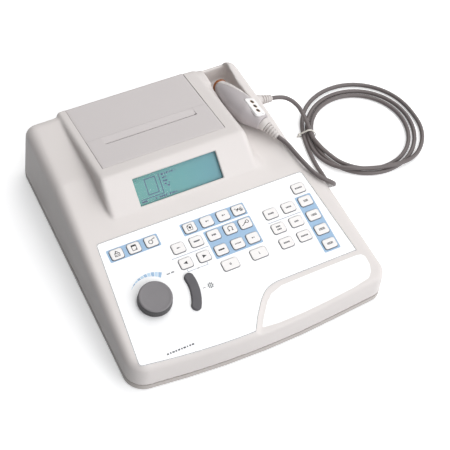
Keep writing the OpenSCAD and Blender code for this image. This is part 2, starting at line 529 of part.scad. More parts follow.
// smooth curve through the points
function cr(p, i, t) = let (n = len(p) - 1, a = p[max(i - 1, 0)], b = p[i], c = p[min(i + 1, n)], d = p[min(i + 2, n)])
  0.5 * (2 * b + (c - a) * t + (2 * a - 5 * b + 4 * c - d) * t * t + (3 * b - a - 3 * c + d) * t * t * t);
function curve(p, m) = concat([for (i = [0:len(p) - 2]) for (j = [0:m - 1]) cr(p, i, j / m)], [p[len(p) - 1]]);
function unit(v) = v / norm(v);
module tube(pts, d) {
  n = len(pts); k = 8;
  tg = [for (i = [0:n - 1]) unit(pts[min(i + 1, n - 1)] - pts[max(i - 1, 0)])];
  rings = [for (i = [0:n - 1]) let (u = unit(cross(tg[i], [0.31, 0.17, 0.93])), v = cross(tg[i], u))
    for (j = [0:k - 1]) pts[i] + d / 2 * (cos(360 * j / k) * u + sin(360 * j / k) * v)];
  polyhedron(rings, concat([[for (j = [0:k - 1]) j]], [[for (j = [0:k - 1]) (n - 1) * k + k - 1 - j]],
    [for (i = [0:n - 2]) for (j = [0:k - 1]) let (a = i * k + j, b = i * k + (j + 1) % k) each [[a, a + k, b], [b, a + k, b + k]]]));
}
module probe_cord() color([0.44, 0.41, 0.42]) { tube(curve(lead_a, 2), lead_d); tube(curve(lead_b, 2), lead_d); }

top_housing();
base_tray();
rubber_feet();
case_screws();
keypad_overlay();
keypad_board();
level_knob();
present_bar();
lcd_window();
lcd_module();
printer_door();
printer_frame();
print_head();
platen_roller();
drive_gear();
feed_motor();
paper_roll();
main_board();
air_pump();
power_inlet();
power_switch();
probe_shell();
probe_cover();
probe_panel();
probe_nose();
probe_strain_relief();
side_connector();
cable_tie();
probe_cord();
cord_coil();
key(0);  // key_battery
key(1);  // key_paper
key(2);  // key_marker
key(3);  // key_screen_ear
key(4);  // key_tymp_minus
key(5);  // key_tymp_plus
key(6);  // key_probe_ear
key(7);  // key_type
key(8);  // key_pressure
key(9);  // key_program
key(10);  // key_phones
key(11);  // key_bone
key(12);  // key_left
key(13);  // key_right
key(14);  // key_steady
key(15);  // key_pulsed
key(16);  // key_auto
key(17);  // key_ear_right
key(18);  // key_ear_left
key(19);  // key_tone
key(20);  // key_test
key(21);  // key_level_down
key(22);  // key_level_up
key(23);  // key_contra
key(24);  // key_ipsi
key(25);  // key_start
key(26);  // key_freq_a
key(27);  // key_freq_b
key(28);  // key_freq_c
key(29);  // key_freq_d
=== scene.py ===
import math

import bmesh
import bpy
import numpy as np
from mathutils import Matrix, Vector


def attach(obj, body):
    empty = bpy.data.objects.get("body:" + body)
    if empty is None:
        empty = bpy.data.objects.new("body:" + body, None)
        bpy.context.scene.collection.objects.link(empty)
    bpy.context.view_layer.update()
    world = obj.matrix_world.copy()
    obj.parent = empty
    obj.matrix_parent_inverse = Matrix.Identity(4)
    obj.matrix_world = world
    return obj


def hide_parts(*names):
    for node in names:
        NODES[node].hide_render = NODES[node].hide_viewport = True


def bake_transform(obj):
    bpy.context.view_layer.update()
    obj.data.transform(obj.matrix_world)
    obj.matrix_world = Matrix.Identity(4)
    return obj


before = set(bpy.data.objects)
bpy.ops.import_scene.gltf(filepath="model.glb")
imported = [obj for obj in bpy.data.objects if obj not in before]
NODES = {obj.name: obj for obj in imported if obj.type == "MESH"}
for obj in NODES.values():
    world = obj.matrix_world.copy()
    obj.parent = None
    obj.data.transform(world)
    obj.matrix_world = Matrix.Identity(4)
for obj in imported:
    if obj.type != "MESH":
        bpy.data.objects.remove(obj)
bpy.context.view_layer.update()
BODY = "console"
scene = bpy.context.scene
MM = 0.001

# ---------------------------------------------------------------- camera
cam_data = bpy.data.cameras.new("camera")
cam_data.lens = 87.2
cam_data.sensor_width = 36
cam_data.clip_start, cam_data.clip_end = 0.05, 20
cam = bpy.data.objects.new("camera", cam_data)
scene.collection.objects.link(cam)
right = Vector((0.89062, -0.45088, 0.05915))
down = Vector((-0.32926, -0.72912, -0.59997))
ahead = Vector((0.31364, 0.51487, -0.79783))
m = Matrix((right, -down, -ahead)).transposed().to_4x4()
m.translation = Vector((-0.4079, -0.7419, 1.1424))
cam.matrix_world = m
scene.camera = cam


# ---------------------------------------------------------------- small tools
def rotx(a):
    return Matrix.Rotation(math.radians(a), 4, "X")


def roty(a):
    return Matrix.Rotation(math.radians(a), 4, "Y")


def rotz(a):
    return Matrix.Rotation(math.radians(a), 4, "Z")


def move(x, y, z):
    return Matrix.Translation((x, y, z))


PANEL = move(-52, -36.5, 72.3) @ rotx(9.5)
FACE = PANEL @ move(0, 43.2, 0) @ rotx(30.7)
TOP = move(0, 62, 110.3) @ rotx(-8.6)


class Build:
    """Closed shells gathered in millimetres, then made into one object in metres."""

    def __init__(self):
        self.v, self.f, self.m = [], [], []

    def add(self, verts, faces, mat=0, at=None):
        o = len(self.v)
        for p in verts:
            p = Vector(p)
            if at is not None:
                p = at @ p
            self.v.append((p.x * MM, p.y * MM, p.z * MM))
        for f in faces:
            self.f.append([i + o for i in f])
            self.m.append(mat)

    def prism(self, outline, z0, z1, mat=0, at=None):
        n = len(outline)
        area = sum(outline[i][0] * outline[(i + 1) % n][1] - outline[(i + 1) % n][0] * outline[i][1] for i in range(n))
        if area < 0:
            outline = outline[::-1]
        v = [(p[0], p[1], z0) for p in outline] + [(p[0], p[1], z1) for p in outline]
        f = [list(range(n))[::-1], list(range(n, 2 * n))]
        f += [[i, (i + 1) % n, n + (i + 1) % n, n + i] for i in range(n)]
        self.add(v, f, mat, at)

    def loft(self, rings, mat=0, at=None, caps=(True, True), mats=None):
        n = len(rings[0])
        v = [p for r in rings for p in r]
        f, mm = [], []
        for k in range(len(rings) - 1):
            for i in range(n):
                a, b = k * n + i, k * n + (i + 1) % n
                f.append([a, b, b + n, a + n])
                mm.append(mats[k] if mats else mat)
        if caps[0]:
            f.append(list(range(n))[::-1])
            mm.append(mats[0] if mats else mat)
        if caps[1]:
            o = (len(rings) - 1) * n
            f.append([o + i for i in range(n)])
            mm.append(mats[-1] if mats else mat)
        o = len(self.f)
        self.add(v, f, mat, at)
        self.m[o:] = mm

    def lathe(self, profile, n=96, mat=0, at=None, mats=None):
        rings = []
        for r, z in profile:
            r = max(r, 1e-4)
            rings.append([(r * math.cos(2 * math.pi * i / n), r * math.sin(2 * math.pi * i / n), z) for i in range(n)])
        self.loft(rings, mat, at, mats=mats)

    def tube(self, pts, r, n=16, mat=0, at=None):
        self.loft(tube_rings(pts, r, n), mat, at)

    def box(self, a, b, mat=0, at=None):
        self.prism([(a[0], a[1]), (b[0], a[1]), (b[0], b[1]), (a[0], b[1])], a[2], b[2], mat, at)

    def object(self, name, mats=(), smooth=30):
        me = bpy.data.meshes.new(name)
        me.from_pydata(self.v, [], self.f)
        me.polygons.foreach_set("material_index", self.m)
        for x in mats:
            me.materials.append(x)
        ob = bpy.data.objects.new(name, me)
        scene.collection.objects.link(ob)
        tidy(ob, smooth)
        return ob


def tidy(ob, smooth=30):
    me = ob.data
    bm = bmesh.new()
    bm.from_mesh(me)
    bmesh.ops.recalc_face_normals(bm, faces=bm.faces)
    bm.to_mesh(me)
    bm.free()
    shade(ob, smooth)


def shade(ob, smooth=30):
    me = ob.data
    me.polygons.foreach_set("use_smooth", [smooth > 0] * len(me.polygons))
    if smooth > 0:
        me.set_sharp_from_angle(angle=math.radians(smooth))
    me.update()


def tube_rings(pts, r, n=16):
    pts = [Vector(p) for p in pts]
    rings, up = [], None
    for i, p in enumerate(pts):
        t = (pts[min(i + 1, len(pts) - 1)] - pts[max(i - 1, 0)]).normalized()
        if up is None:
            up = t.orthogonal().normalized()
        up = (up - t * up.dot(t)).normalized()
        side = t.cross(up)
        rr = r[i] if hasattr(r, "__len__") else r
        rings.append([tuple(p + rr * (math.cos(2 * math.pi * k / n) * up + math.sin(2 * math.pi * k / n) * side)) for k in range(n)])
    return rings


def catmull(p, k):
    """A smooth curve through the points, k steps to each stretch, spaced by the points' own distances."""
    p = [Vector(x) for x in p]
    p = [2 * p[0] - p[1]] + p + [2 * p[-1] - p[-2]]
    out = []
    for i in range(1, len(p) - 2):
        t = [0.0]
        for j in range(3):
            t.append(t[-1] + max((p[i + j] - p[i + j - 1]).length, 1e-6) ** 0.5)
        for s in range(k):
            u = t[1] + (t[2] - t[1]) * s / k
            a1 = (t[1] - u) / (t[1] - t[0]) * p[i - 1] + (u - t[0]) / (t[1] - t[0]) * p[i]
            a2 = (t[2] - u) / (t[2] - t[1]) * p[i] + (u - t[1]) / (t[2] - t[1]) * p[i + 1]
            a3 = (t[3] - u) / (t[3] - t[2]) * p[i + 1] + (u - t[2]) / (t[3] - t[2]) * p[i + 2]
            b1 = (t[2] - u) / (t[2] - t[0]) * a1 + (u - t[0]) / (t[2] - t[0]) * a2
            b2 = (t[3] - u) / (t[3] - t[1]) * a2 + (u - t[1]) / (t[3] - t[1]) * a3
            out.append((t[2] - u) / (t[2] - t[1]) * b1 + (u - t[1]) / (t[2] - t[1]) * b2)
    out.append(p[-2])
    return out


def rr(w, d, r, n=6, x=0, y=0):
    """Outline of a rounded rectangle about (x, y)."""
    r = max(min(r, w / 2 - 0.01, d / 2 - 0.01), 0.01)
    out = []
    for cx, cy, a0 in ((w / 2 - r, d / 2 - r, 0), (-w / 2 + r, d / 2 - r, 90), (-w / 2 + r, -d / 2 + r, 180), (w / 2 - r, -d / 2 + r, 270)):
        for i in range(n + 1):
            a = math.radians(a0 + 90 * i / n)
            out.append((x + cx + r * math.cos(a), y + cy + r * math.sin(a)))
    return out


def stroke(b, pts, w, z0, z1, mat, at=None, closed=False):
    """A line of constant width as a row of small closed bars with round joints."""
    pts = [Vector((p[0], p[1])) for p in pts]
    if closed:
        pts = pts + [pts[0]]
    for i in range(len(pts) - 1):
        d = (pts[i + 1] - pts[i])
        if d.length < 1e-6:
            continue
        d.normalize()
        q = Vector((-d.y, d.x)) * w / 2
        e = d * w / 2 * 0.6
        b.prism([tuple(pts[i] - q - e), tuple(pts[i + 1] - q + e), tuple(pts[i + 1] + q + e), tuple(pts[i] + q - e)], z0, z1, mat, at)


def arc(c, r, a0, a1, n):
    return [(c[0] + r * math.cos(math.radians(a0 + (a1 - a0) * i / n)), c[1] + r * math.sin(math.radians(a0 + (a1 - a0) * i / n))) for i in range(n + 1)]


def hull(points, name="hull"):
    bm = bmesh.new()
    for p in points:
        bm.verts.new((p[0] * MM, p[1] * MM, p[2] * MM))
    res = bmesh.ops.convex_hull(bm, input=bm.verts)
    dead = {g for g in list(res["geom_interior"]) + list(res["geom_unused"]) if isinstance(g, bmesh.types.BMVert)}
    dead |= {v for v in bm.verts if not v.link_faces}
    bmesh.ops.delete(bm, geom=list(dead), context="VERTS")
    bmesh.ops.recalc_face_normals(bm, faces=bm.faces)
    me = bpy.data.meshes.new(name)
    bm.to_mesh(me)
    bm.free()
    ob = bpy.data.objects.new(name, me)
    scene.collection.objects.link(ob)
    return ob


def sphere(x, y, z, r, nu=40, nv=20):
    out = []
    for j in range(nv + 1):
        b = math.pi * (j / nv - 0.5)
        for i in range(nu if 0 < j < nv else 1):
            a = 2 * math.pi * i / nu
            out.append((x + r * math.cos(b) * math.cos(a), y + r * math.cos(b) * math.sin(a), z + r * math.sin(b)))
    return out


def disc(x, y, z, r, n=72):
    return [(x + r * math.cos(2 * math.pi * i / n), y + r * math.sin(2 * math.pi * i / n), z) for i in range(n)]


def settle(ob):
    """Applies an object's modifiers."""
    dg = bpy.context.evaluated_depsgraph_get()
    dg.update()
    me = bpy.data.meshes.new_from_object(ob.evaluated_get(dg))
    ob.modifiers.clear()
    old = ob.data
    ob.data = me
    if not old.users:
        bpy.data.meshes.remove(old)
    return ob


def combine(ob, other, how="DIFFERENCE", keep=False):
    md = ob.modifiers.new("cut", "BOOLEAN")
    md.operation, md.solver, md.object = how, "MANIFOLD", other
    settle(ob)
    if not keep:
        me = other.data
        bpy.data.objects.remove(other)
        if not me.users:
            bpy.data.meshes.remove(me)
    return ob


# ---------------------------------------------------------------- materials
def shader(name, color, rough, grain=0.0, grain_scale=2600, vary=0.02, vary_scale=9, rough_vary=0.05, dust=0.0, wave=None, **sockets):
    """Moulded or painted surface: slow drift of colour, fine grain in the bump and uneven gloss."""
    mt = bpy.data.materials.new(name)
    mt.use_nodes = True
    nt = mt.node_tree
    nt.nodes.clear()
    out = nt.nodes.new("ShaderNodeOutputMaterial")
    p = nt.nodes.new("ShaderNodeBsdfPrincipled")
    nt.links.new(p.outputs[0], out.inputs[0])
    tc = nt.nodes.new("ShaderNodeTexCoord")
    slow = nt.nodes.new("ShaderNodeTexNoise")
    slow.inputs["Scale"].default_value = vary_scale
    slow.inputs["Detail"].default_value = 3
    nt.links.new(tc.outputs["Object"], slow.inputs["Vector"])
    ramp = nt.nodes.new("ShaderNodeValToRGB")
    ramp.color_ramp.elements[0].position, ramp.color_ramp.elements[1].position = 0.3, 0.7
    lo = [max(0, c * (1 - vary) - dust * 0.02) for c in color]
    hi = [min(1, c * (1 + vary)) for c in color]
    ramp.color_ramp.elements[0].color, ramp.color_ramp.elements[1].color = (*lo, 1), (*hi, 1)
    nt.links.new(slow.outputs[0], ramp.inputs[0])
    nt.links.new(ramp.outputs[0], p.inputs["Base Color"])
    fine = nt.nodes.new("ShaderNodeTexNoise")
    fine.inputs["Scale"].default_value = grain_scale
    fine.inputs["Detail"].default_value = 4
    nt.links.new(tc.outputs["Object"], fine.inputs["Vector"])
    rr_ = nt.nodes.new("ShaderNodeMapRange")
    rr_.inputs["From Min"].default_value, rr_.inputs["From Max"].default_value = 0.3, 0.7
    rr_.inputs["To Min"].default_value, rr_.inputs["To Max"].default_value = max(0, rough - rough_vary), min(1, rough + rough_vary)
    mid = nt.nodes.new("ShaderNodeTexNoise")
    mid.inputs["Scale"].default_value = vary_scale * 9
    mid.inputs["Detail"].default_value = 4
    nt.links.new(tc.outputs["Object"], mid.inputs["Vector"])
    nt.links.new(mid.outputs[0], rr_.inputs["Value"])
    nt.links.new(rr_.outputs[0], p.inputs["Roughness"])
    height = fine.outputs[0]
    if wave:
        wv = nt.nodes.new("ShaderNodeTexWave")
        wv.wave_type = wave.get("type", "BANDS")
        if wv.wave_type == "BANDS":
            wv.bands_direction = wave.get("dir", "X")
        else:
            wv.rings_direction = wave.get("dir", "X")
        wv.inputs["Scale"].default_value = wave["scale"]
        wv.inputs["Distortion"].default_value = wave.get("distortion", 0)
        if "at" in wave:
            mp = nt.nodes.new("ShaderNodeMapping")
            mp.inputs["Location"].default_value = [-c * MM for c in wave["at"]]
            nt.links.new(tc.outputs["Object"], mp.inputs["Vector"])
            nt.links.new(mp.outputs[0], wv.inputs["Vector"])
        else:
            nt.links.new(tc.outputs["Object"], wv.inputs["Vector"])
        height = wv.outputs[0] if not grain else wv.outputs["Fac"] if "Fac" in wv.outputs else wv.outputs[0]
    bump = nt.nodes.new("ShaderNodeBump")
    bump.inputs["Strength"].default_value = min(1.0, grain if not wave else wave.get("strength", 0.3))
    bump.inputs["Distance"].default_value = 0.00006 if not wave else wave.get("depth", 0.0002)
    nt.links.new(height, bump.inputs["Height"])
    if grain or wave:
        nt.links.new(bump.outputs[0], p.inputs["Normal"])
    for k, v in sockets.items():
        p.inputs[k.replace("_", " ")].default_value = v
    return mt


def lin(r, g, b):
    """A screen colour, 0 to 255, as linear light."""
    return tuple(((c / 255 + 0.055) / 1.055) ** 2.4 if c > 10 else c / 255 / 12.92 for c in (r, g, b))


M = {
    "case": shader("case_plastic", lin(218, 212, 209), 0.42, grain=0.35, grain_scale=2200, vary=0.012, dust=0.3, Specular_IOR_Level=0.45),
    # the tray is darker than the case: painted shade for the shade along the bottom of the case
    "tray": shader("tray_plastic_painted_shade", lin(190, 183, 178), 0.5, grain=0.35, grain_scale=2200, vary=0.015),
    "door": shader("door_plastic", lin(206, 200, 199), 0.46, grain=0.4, grain_scale=2000, vary=0.01),
    "overlay": shader("overlay_film", lin(250, 250, 250), 0.36, grain=0.12, grain_scale=5000, vary=0.004, Coat_Weight=0.12, Coat_Roughness=0.25),
    "blue": shader("print_blue", lin(152, 184, 214), 0.42, grain=0.1, vary=0.02, vary_scale=30),
    "blue_edge": shader("print_blue_border", lin(132, 160, 190), 0.42, grain=0.1, vary=0.02),
    "blue_pale": shader("print_blue_pale", lin(190, 216, 236), 0.42, grain=0.1, vary=0.02),
    "line": shader("print_grey_line", lin(168, 176, 190), 0.45, grain=0.1, vary=0.02),
    # grey print marks; this colour also draws the thin dark ring round the film's edge, which is painted shade for the
    # gap at that edge
    "line_dark_and_edge_shade": shader("print_grey_mark_and_edge_shade", lin(84, 86, 92), 0.45, grain=0.1, vary=0.02),
    "ink": shader("key_ink", lin(30, 30, 34), 0.45, grain=0.1, vary=0.03),
    "ink_soft": shader("key_ink_soft", lin(86, 86, 90), 0.45, grain=0.1, vary=0.03),
    # grey key skirt and side walls: painted shade for the shade in the gap round each key
    "key_gap_shade": shader("key_skirt_painted_shade", lin(128, 128, 133), 0.45, grain=0.1, vary=0.01),
    "key": shader("key_plastic", lin(236, 233, 231), 0.38, grain=0.2, grain_scale=3000, vary=0.008, Coat_Weight=0.08, Coat_Roughness=0.3),
    "knob": shader("knob_plastic", lin(122, 119, 121), 0.5, grain=0.5, grain_scale=1700, vary=0.02),
    # a darker copy of the knob's grey for its side and grip ribs: painted shade for the side that gets less light
    "knob_side": shader("knob_side_painted_shade", lin(56, 54, 56), 0.48, grain=0.5, grain_scale=1700, vary=0.02),
    "bar": shader("bar_plastic", lin(84, 82, 86), 0.5, grain=0.45, grain_scale=1800, vary=0.02),
    "rubber": shader("rubber", lin(38, 38, 40), 0.75, grain=0.5, grain_scale=1200, vary=0.05),
    "lead": shader("lead_sheath", lin(104, 96, 95), 0.38, grain=0.18, grain_scale=1500, vary=0.03, vary_scale=14, Coat_Weight=0.1, Coat_Roughness=0.3),
    "probe_light": shader("probe_light_plastic", lin(208, 202, 199), 0.36, grain=0.12, grain_scale=2400, vary=0.012, Coat_Weight=0.25, Coat_Roughness=0.15),
    # the probe's grey half: a greyer plastic than the cover, made darker still as painted shade for the probe's shaded
    # left side
    "probe_dark": shader("probe_grey_plastic_and_shade", lin(184, 177, 178), 0.34, grain=0.12, grain_scale=2400, vary=0.015, Coat_Weight=0.3, Coat_Roughness=0.12),
    "label": shader("lamp_label", lin(244, 242, 241), 0.3, grain=0.08, vary=0.004, Coat_Weight=0.3, Coat_Roughness=0.1),
    "led": shader("lamp_lens", lin(24, 18, 16), 0.12, vary=0.05, Coat_Weight=0.6, Coat_Roughness=0.05),
    "lens_rim": shader("lens_rim", lin(170, 132, 92), 0.35, grain=0.1, vary=0.05),
    "nose": shader("nose_plastic", lin(168, 98, 50), 0.3, grain=0.1, vary=0.12, vary_scale=60, Transmission_Weight=0.25, IOR=1.45, Coat_Weight=0.4, Coat_Roughness=0.08),
    "tip": shader("ear_tip_rubber", lin(196, 190, 184), 0.55, grain=0.2, vary=0.03),
    "tie": shader("tie_nylon", lin(214, 210, 202), 0.4, grain=0.2, vary=0.03),
    "black": shader("black_plastic", lin(34, 34, 36), 0.42, grain=0.4, vary=0.04),
    "steel": shader("plated_steel", lin(190, 190, 194), 0.28, grain=0.15, vary=0.03, Metallic=1.0),
    "motor": shader("motor_can", lin(150, 152, 156), 0.32, grain=0.1, vary=0.03, Metallic=1.0, wave={"dir": "X", "scale": 60, "strength": 0.1, "depth": 0.00004}),
    "pump": shader("pump_casting", lin(112, 116, 122), 0.5, grain=0.8, grain_scale=900, vary=0.06, Metallic=0.8),
    "pcb": shader("solder_mask", lin(24, 86, 48), 0.35, grain=0.3, grain_scale=500, vary=0.12, vary_scale=60, Coat_Weight=0.4, Coat_Roughness=0.2),
    "frame": shader("printer_frame_plastic", lin(48, 48, 52), 0.5, grain=0.4, vary=0.04),
    "nylon": shader("gear_nylon", lin(232, 228, 210), 0.4, grain=0.2, vary=0.03),
    "paper": shader("thermal_paper", lin(242, 242, 238), 0.62, grain=0.3, grain_scale=900, vary=0.01, wave={"type": "RINGS", "dir": "X", "scale": 900, "at": (0, 146, 52), "strength": 0.25, "depth": 0.00008}),
    "lcd_ink": shader("display_segments", lin(6, 34, 104), 0.4, vary=0.05, vary_scale=40),
    "bezel": shader("display_bezel", lin(150, 150, 118), 0.5, grain=0.3, vary=0.05),
}


def display_shader():
    """The lit display panel: greener at the left, bluer at the right, with a fine grid of dots."""
    mt = bpy.data.materials.new("display_panel")
    mt.use_nodes = True
    nt = mt.node_tree
    p = nt.nodes["Principled BSDF"]
    tc = nt.nodes.new("ShaderNodeTexCoord")
    sep = nt.nodes.new("ShaderNodeSeparateXYZ")
    nt.links.new(tc.outputs["Object"], sep.inputs[0])
    ramp = nt.nodes.new("ShaderNodeValToRGB")
    mr = nt.nodes.new("ShaderNodeMapRange")
    mr.inputs["From Min"].default_value, mr.inputs["From Max"].default_value = -0.076, 0.044
    nt.links.new(sep.outputs["X"], mr.inputs["Value"])
    nt.links.new(mr.outputs[0], ramp.inputs[0])
    ramp.color_ramp.elements[0].color = (*lin(63, 144, 138), 1)
    ramp.color_ramp.elements[1].color = (*lin(56, 135, 150), 1)
    mid = ramp.color_ramp.elements.new(0.55)
    mid.color = (*lin(59, 143, 146), 1)
    noise = nt.nodes.new("ShaderNodeTexNoise")
    noise.inputs["Scale"].default_value = 26
    nt.links.new(tc.outputs["Object"], noise.inputs["Vector"])
    sat = nt.nodes.new("ShaderNodeHueSaturation")
    sat.inputs["Saturation"].default_value = 1.0
    nt.links.new(ramp.outputs[0], sat.inputs["Color"])
    nt.links.new(sat.outputs[0], p.inputs["Base Color"])
    rough = nt.nodes.new("ShaderNodeMapRange")
    rough.inputs["To Min"].default_value, rough.inputs["To Max"].default_value = 0.32, 0.5
    nt.links.new(noise.outputs[0], rough.inputs["Value"])
    nt.links.new(rough.outputs[0], p.inputs["Roughness"])
    grid = nt.nodes.new("ShaderNodeTexChecker")
    grid.inputs["Scale"].default_value = 2000
    nt.links.new(tc.outputs["Object"], grid.inputs["Vector"])
    bump = nt.nodes.new("ShaderNodeBump")
    bump.inputs["Strength"].default_value = 0.05
    bump.inputs["Distance"].default_value = 0.00002
    nt.links.new(grid.outputs["Fac"], bump.inputs["Height"])
    nt.links.new(bump.outputs[0], p.inputs["Normal"])
    return mt


M["display"] = display_shader()
M["window"] = shader("display_window", (0.9, 0.97, 0.95), 0.06, vary=0.01, rough_vary=0.02, Alpha=0.05, Specular_IOR_Level=0.3)

# ---------------------------------------------------------------- the lead
COIL = (290, 62)
turns = [  # angle round the coil, radius, height
    (161, 73.1, 8.4), (180, 70.4, 8.9), (198, 67.4, 6.0), (215, 67.0, 3.3), (260, 68.5, 3), (300, 68.5, 3), (345, 68, 3), (390, 69, 3), (435, 70, 3), (480, 70.5, 3),
    (521, 70, 3), (540, 71.6, 3), (558, 73.4, 3), (580, 75.8, 3), (620, 76.5, 3), (660, 76.4, 3), (705, 76.8, 3), (750, 78.4, 3), (795, 78.2, 3), (840, 77, 3),
    (881, 76.2, 3), (908, 79.2, 3.2), (932, 79.6, 6.4), (950, 75.6, 9.1), (966, 72.2, 8.5), (984, 73.6, 9.1), (1000, 77.5, 9.1), (1016, 82.5, 6.4), (1034, 86, 3.3), (1053, 88, 3), (1066, 88.2, 3),
    (1080, 87.5, 3), (1110, 90.4, 3), (1150, 91.4, 3), (1190, 88.2, 3), (1220, 84.4, 3), (1241, 82.4, 3)]
plug_side = [(186.8, 143.5, 35.8), (196, 142.6, 34.4), (206, 139, 33), (214, 132, 30), (219.4, 123, 25.6), (221.6, 113, 20.6), (222.2, 103, 15.8), (222.0, 94, 11.4)]
probe_side = [(133.7, 36.7, 89), (139.4, 24.3, 86.8), (143.2, 6.5, 84), (147.3, -10.9, 81), (152, -26.6, 78.2), (157.5, -36.5, 76.2), (164.5, -43, 73.5), (171.5, -45.5, 68),
              (175.6, -43, 60.5), (180, -35.6, 50), (185.4, -26.7, 36), (190.9, -17.7, 22), (195.6, -8, 10.4), (199, 4, 4.8), (200.6, 16, 3.2), (201, 31, 3.1), (202.6, 47, 3), (205.4, 63, 3), (208.6, 77, 3)]
# the turns are drawn from their angle, radius and height, not as chords
dense = []
ta = np.array([t[0] for t in turns], float)


def smooth1(x, xs, ys):
    """Monotone-ish cubic through the listed values."""
    i = int(np.clip(np.searchsorted(xs, x) - 1, 0, len(xs) - 2))
    h = xs[i + 1] - xs[i]
    t = (x - xs[i]) / h

    def slope(k):
        if k == 0 or k == len(xs) - 1:
            return 0.0
        return (ys[k + 1] - ys[k - 1]) / (xs[k + 1] - xs[k - 1])
    a, b = slope(i) * h, slope(i + 1) * h
    return ys[i] * (2 * t**3 - 3 * t**2 + 1) + ys[i + 1] * (3 * t**2 - 2 * t**3) + a * (t**3 - 2 * t**2 + t) + b * (t**3 - t**2)


tr, tz = [t[1] for t in turns], [t[2] for t in turns]
for a in np.arange(161, 1241.1, 5):
    r_, z_ = smooth1(a, ta, tr), max(3.0, smooth1(a, ta, tz))
    dense.append(Vector((COIL[0] + r_ * math.cos(math.radians(a)), COIL[1] + r_ * math.sin(math.radians(a)), z_)))
lead_in = catmull(plug_side + [tuple(dense[0]), tuple(dense[1])], 5)[:-6]
lead_out = catmull([tuple(dense[-2]), tuple(dense[-1])] + probe_side[::-1], 5)[6:]
lead_line = lead_in + dense + lead_out
b = Build()
b.tube(lead_line, 2.98, 20)
lead = b.object("probe_lead", [M["lead"]], 60)
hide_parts("probe_cord", "cord_coil")
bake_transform(lead)

# the plug in the right side: a ribbed sleeve along its axis
PLUG = move(157.4, 143.5, 42) @ roty(90 + 12)
b = Build()
prof = [(0, -11.8), (7.6, -11.8), (8.2, -11.2), (8.2, 9.2), (7.9, 10), (5.2, 10.4)]
for i in range(5):
    z = 9.9 + 4 * i
    ro, ri = 7.0 - 0.5 * i, 4.7 - 0.15 * i
    prof += [(ri, z + 0.75), (ro - 0.3, z + 0.85), (ro, z + 1.15), (ro, z + 2.6), (ro - 0.3, z + 2.9), (ri, z + 3.05)]
prof += [(4.0, 29.3), (3.7, 29.9), (3.0, 30.05), (0, 30.05)]
b.lathe(prof, 64, at=PLUG)
for k in range(14):
    a = 360 / 14 * k
    b.prism(rr(1.1, 10, 0.5, 3), 7.7, 8.45, at=PLUG @ rotz(a) @ move(0, 0, 1) @ rotx(90) @ rotz(0))
plug = b.object("side_plug", [M["probe_light"]], 35)
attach(plug, BODY)
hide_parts("side_connector")

# the tie round the gathered turns
b = Build()
TIE = move(COIL[0], COIL[1], 0) @ rotz(161) @ move(76.2, 0, 0)


outer = [(10.9, 0.15), (11.5, 0.9), (11.5, 5.2), (10.6, 7.0), (1.6, 12.6), (-0.4, 13.2), (-3.4, 13.2), (-5.2, 12.4), (-10.4, 7.2), (-11.2, 5.4), (-11.2, 0.9), (-10.6, 0.15)]
inner = [(9.8, 0.75), (10.6, 1.2), (10.6, 4.9), (9.8, 6.4), (1.2, 11.8), (-0.6, 12.35), (-3.2, 12.35), (-4.8, 11.7), (-9.6, 6.6), (-10.3, 5.2), (-10.3, 1.2), (-9.6, 0.75)]
n = len(outer)
rings = []
for y in (-1.15, 1.15):
    rings.append([(p[0], y, p[1]) for p in outer])
    rings.append([(p[0], y, p[1]) for p in inner])
v = [p for r_ in rings for p in r_]
f = []
for i in range(n):
    j = (i + 1) % n
    f += [[i, j, n + j, n + i], [2 * n + i, 3 * n + i, 3 * n + j, 2 * n + j], [i, 2 * n + i, 2 * n + j, j], [n + i, n + j, 3 * n + j, 3 * n + i]]
b.add(v, f, at=TIE)
b.prism(rr(4.2, 3.9, 0.8, 3), 0, 2.6, at=TIE @ move(12.5, 0, 3.6) @ roty(78) @ move(0, 0, -1.3))
b.prism(rr(4.5, 2.0, 0.5, 3), 0, 0.8, at=TIE @ move(13.8, 0.4, 1.4) @ rotz(12) @ roty(24))
tie = b.object("lead_tie", [M["tie"]], 40)
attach(tie, BODY)
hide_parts("cable_tie")

# ---------------------------------------------------------------- upper case
SEAM = 10.0
HALF_F, HALF_R, Y_F, Y_R = 171.0, 166.5, -195.3, 192.0
CORNER = (154.5, Y_F + 27.6, 20.0)


def zp(y):
    return 72.3 + (y + 36.5) * math.tan(math.radians(9.5))


def bow(x):
    return 9 * ((x - 12) / 137) ** 2


def ball(x, y, z, r, t):
    return sphere(x, y, z, r - t)


def pball(x, y, r, t):
    return ball(x, y, zp(y) - r / math.cos(math.radians(9.5)), r, t)


def puck(x, y, r, t):
    out = []
    for z in ((SEAM - 2, SEAM + 1) if t > 0 else (SEAM, SEAM + 1)):
        out += disc(x, y, z, r - t)
    return out


def form_front(t):
    p = puck(-HALF_F + 26, Y_F + 37.6, 26, t) + puck(*CORNER, t)
    for x in (-100, -75, -50, -25, 0, 25, 50, 75, 100):
        p += puck(x, Y_F + bow(x) + 20, 20, t) + pball(x, Y_F + bow(x) + 11.6, 11, t)
    for s in (-1, 1):
        p += puck(s * (HALF_F - 22), -20, 20, t)
    for a in (180, 192, 203, 215, 226, 237, 248, 259, 270):
        p += pball(-HALF_F + 26 + 14.5 * math.cos(math.radians(a)), Y_F + 37.6 + 14.5 * math.sin(math.radians(a)), 11, t)
    for a in (-90, -67, -45, -22, 0):
        p += pball(CORNER[0] + 8.5 * math.cos(math.radians(a)), CORNER[1] + 8.5 * math.sin(math.radians(a)), 11, t)
    return hull(p + pball(-153.6, -20, 11.5, t) + pball(154.5, -34, 11.5, t) + pball(150, -20, 11.5, t))


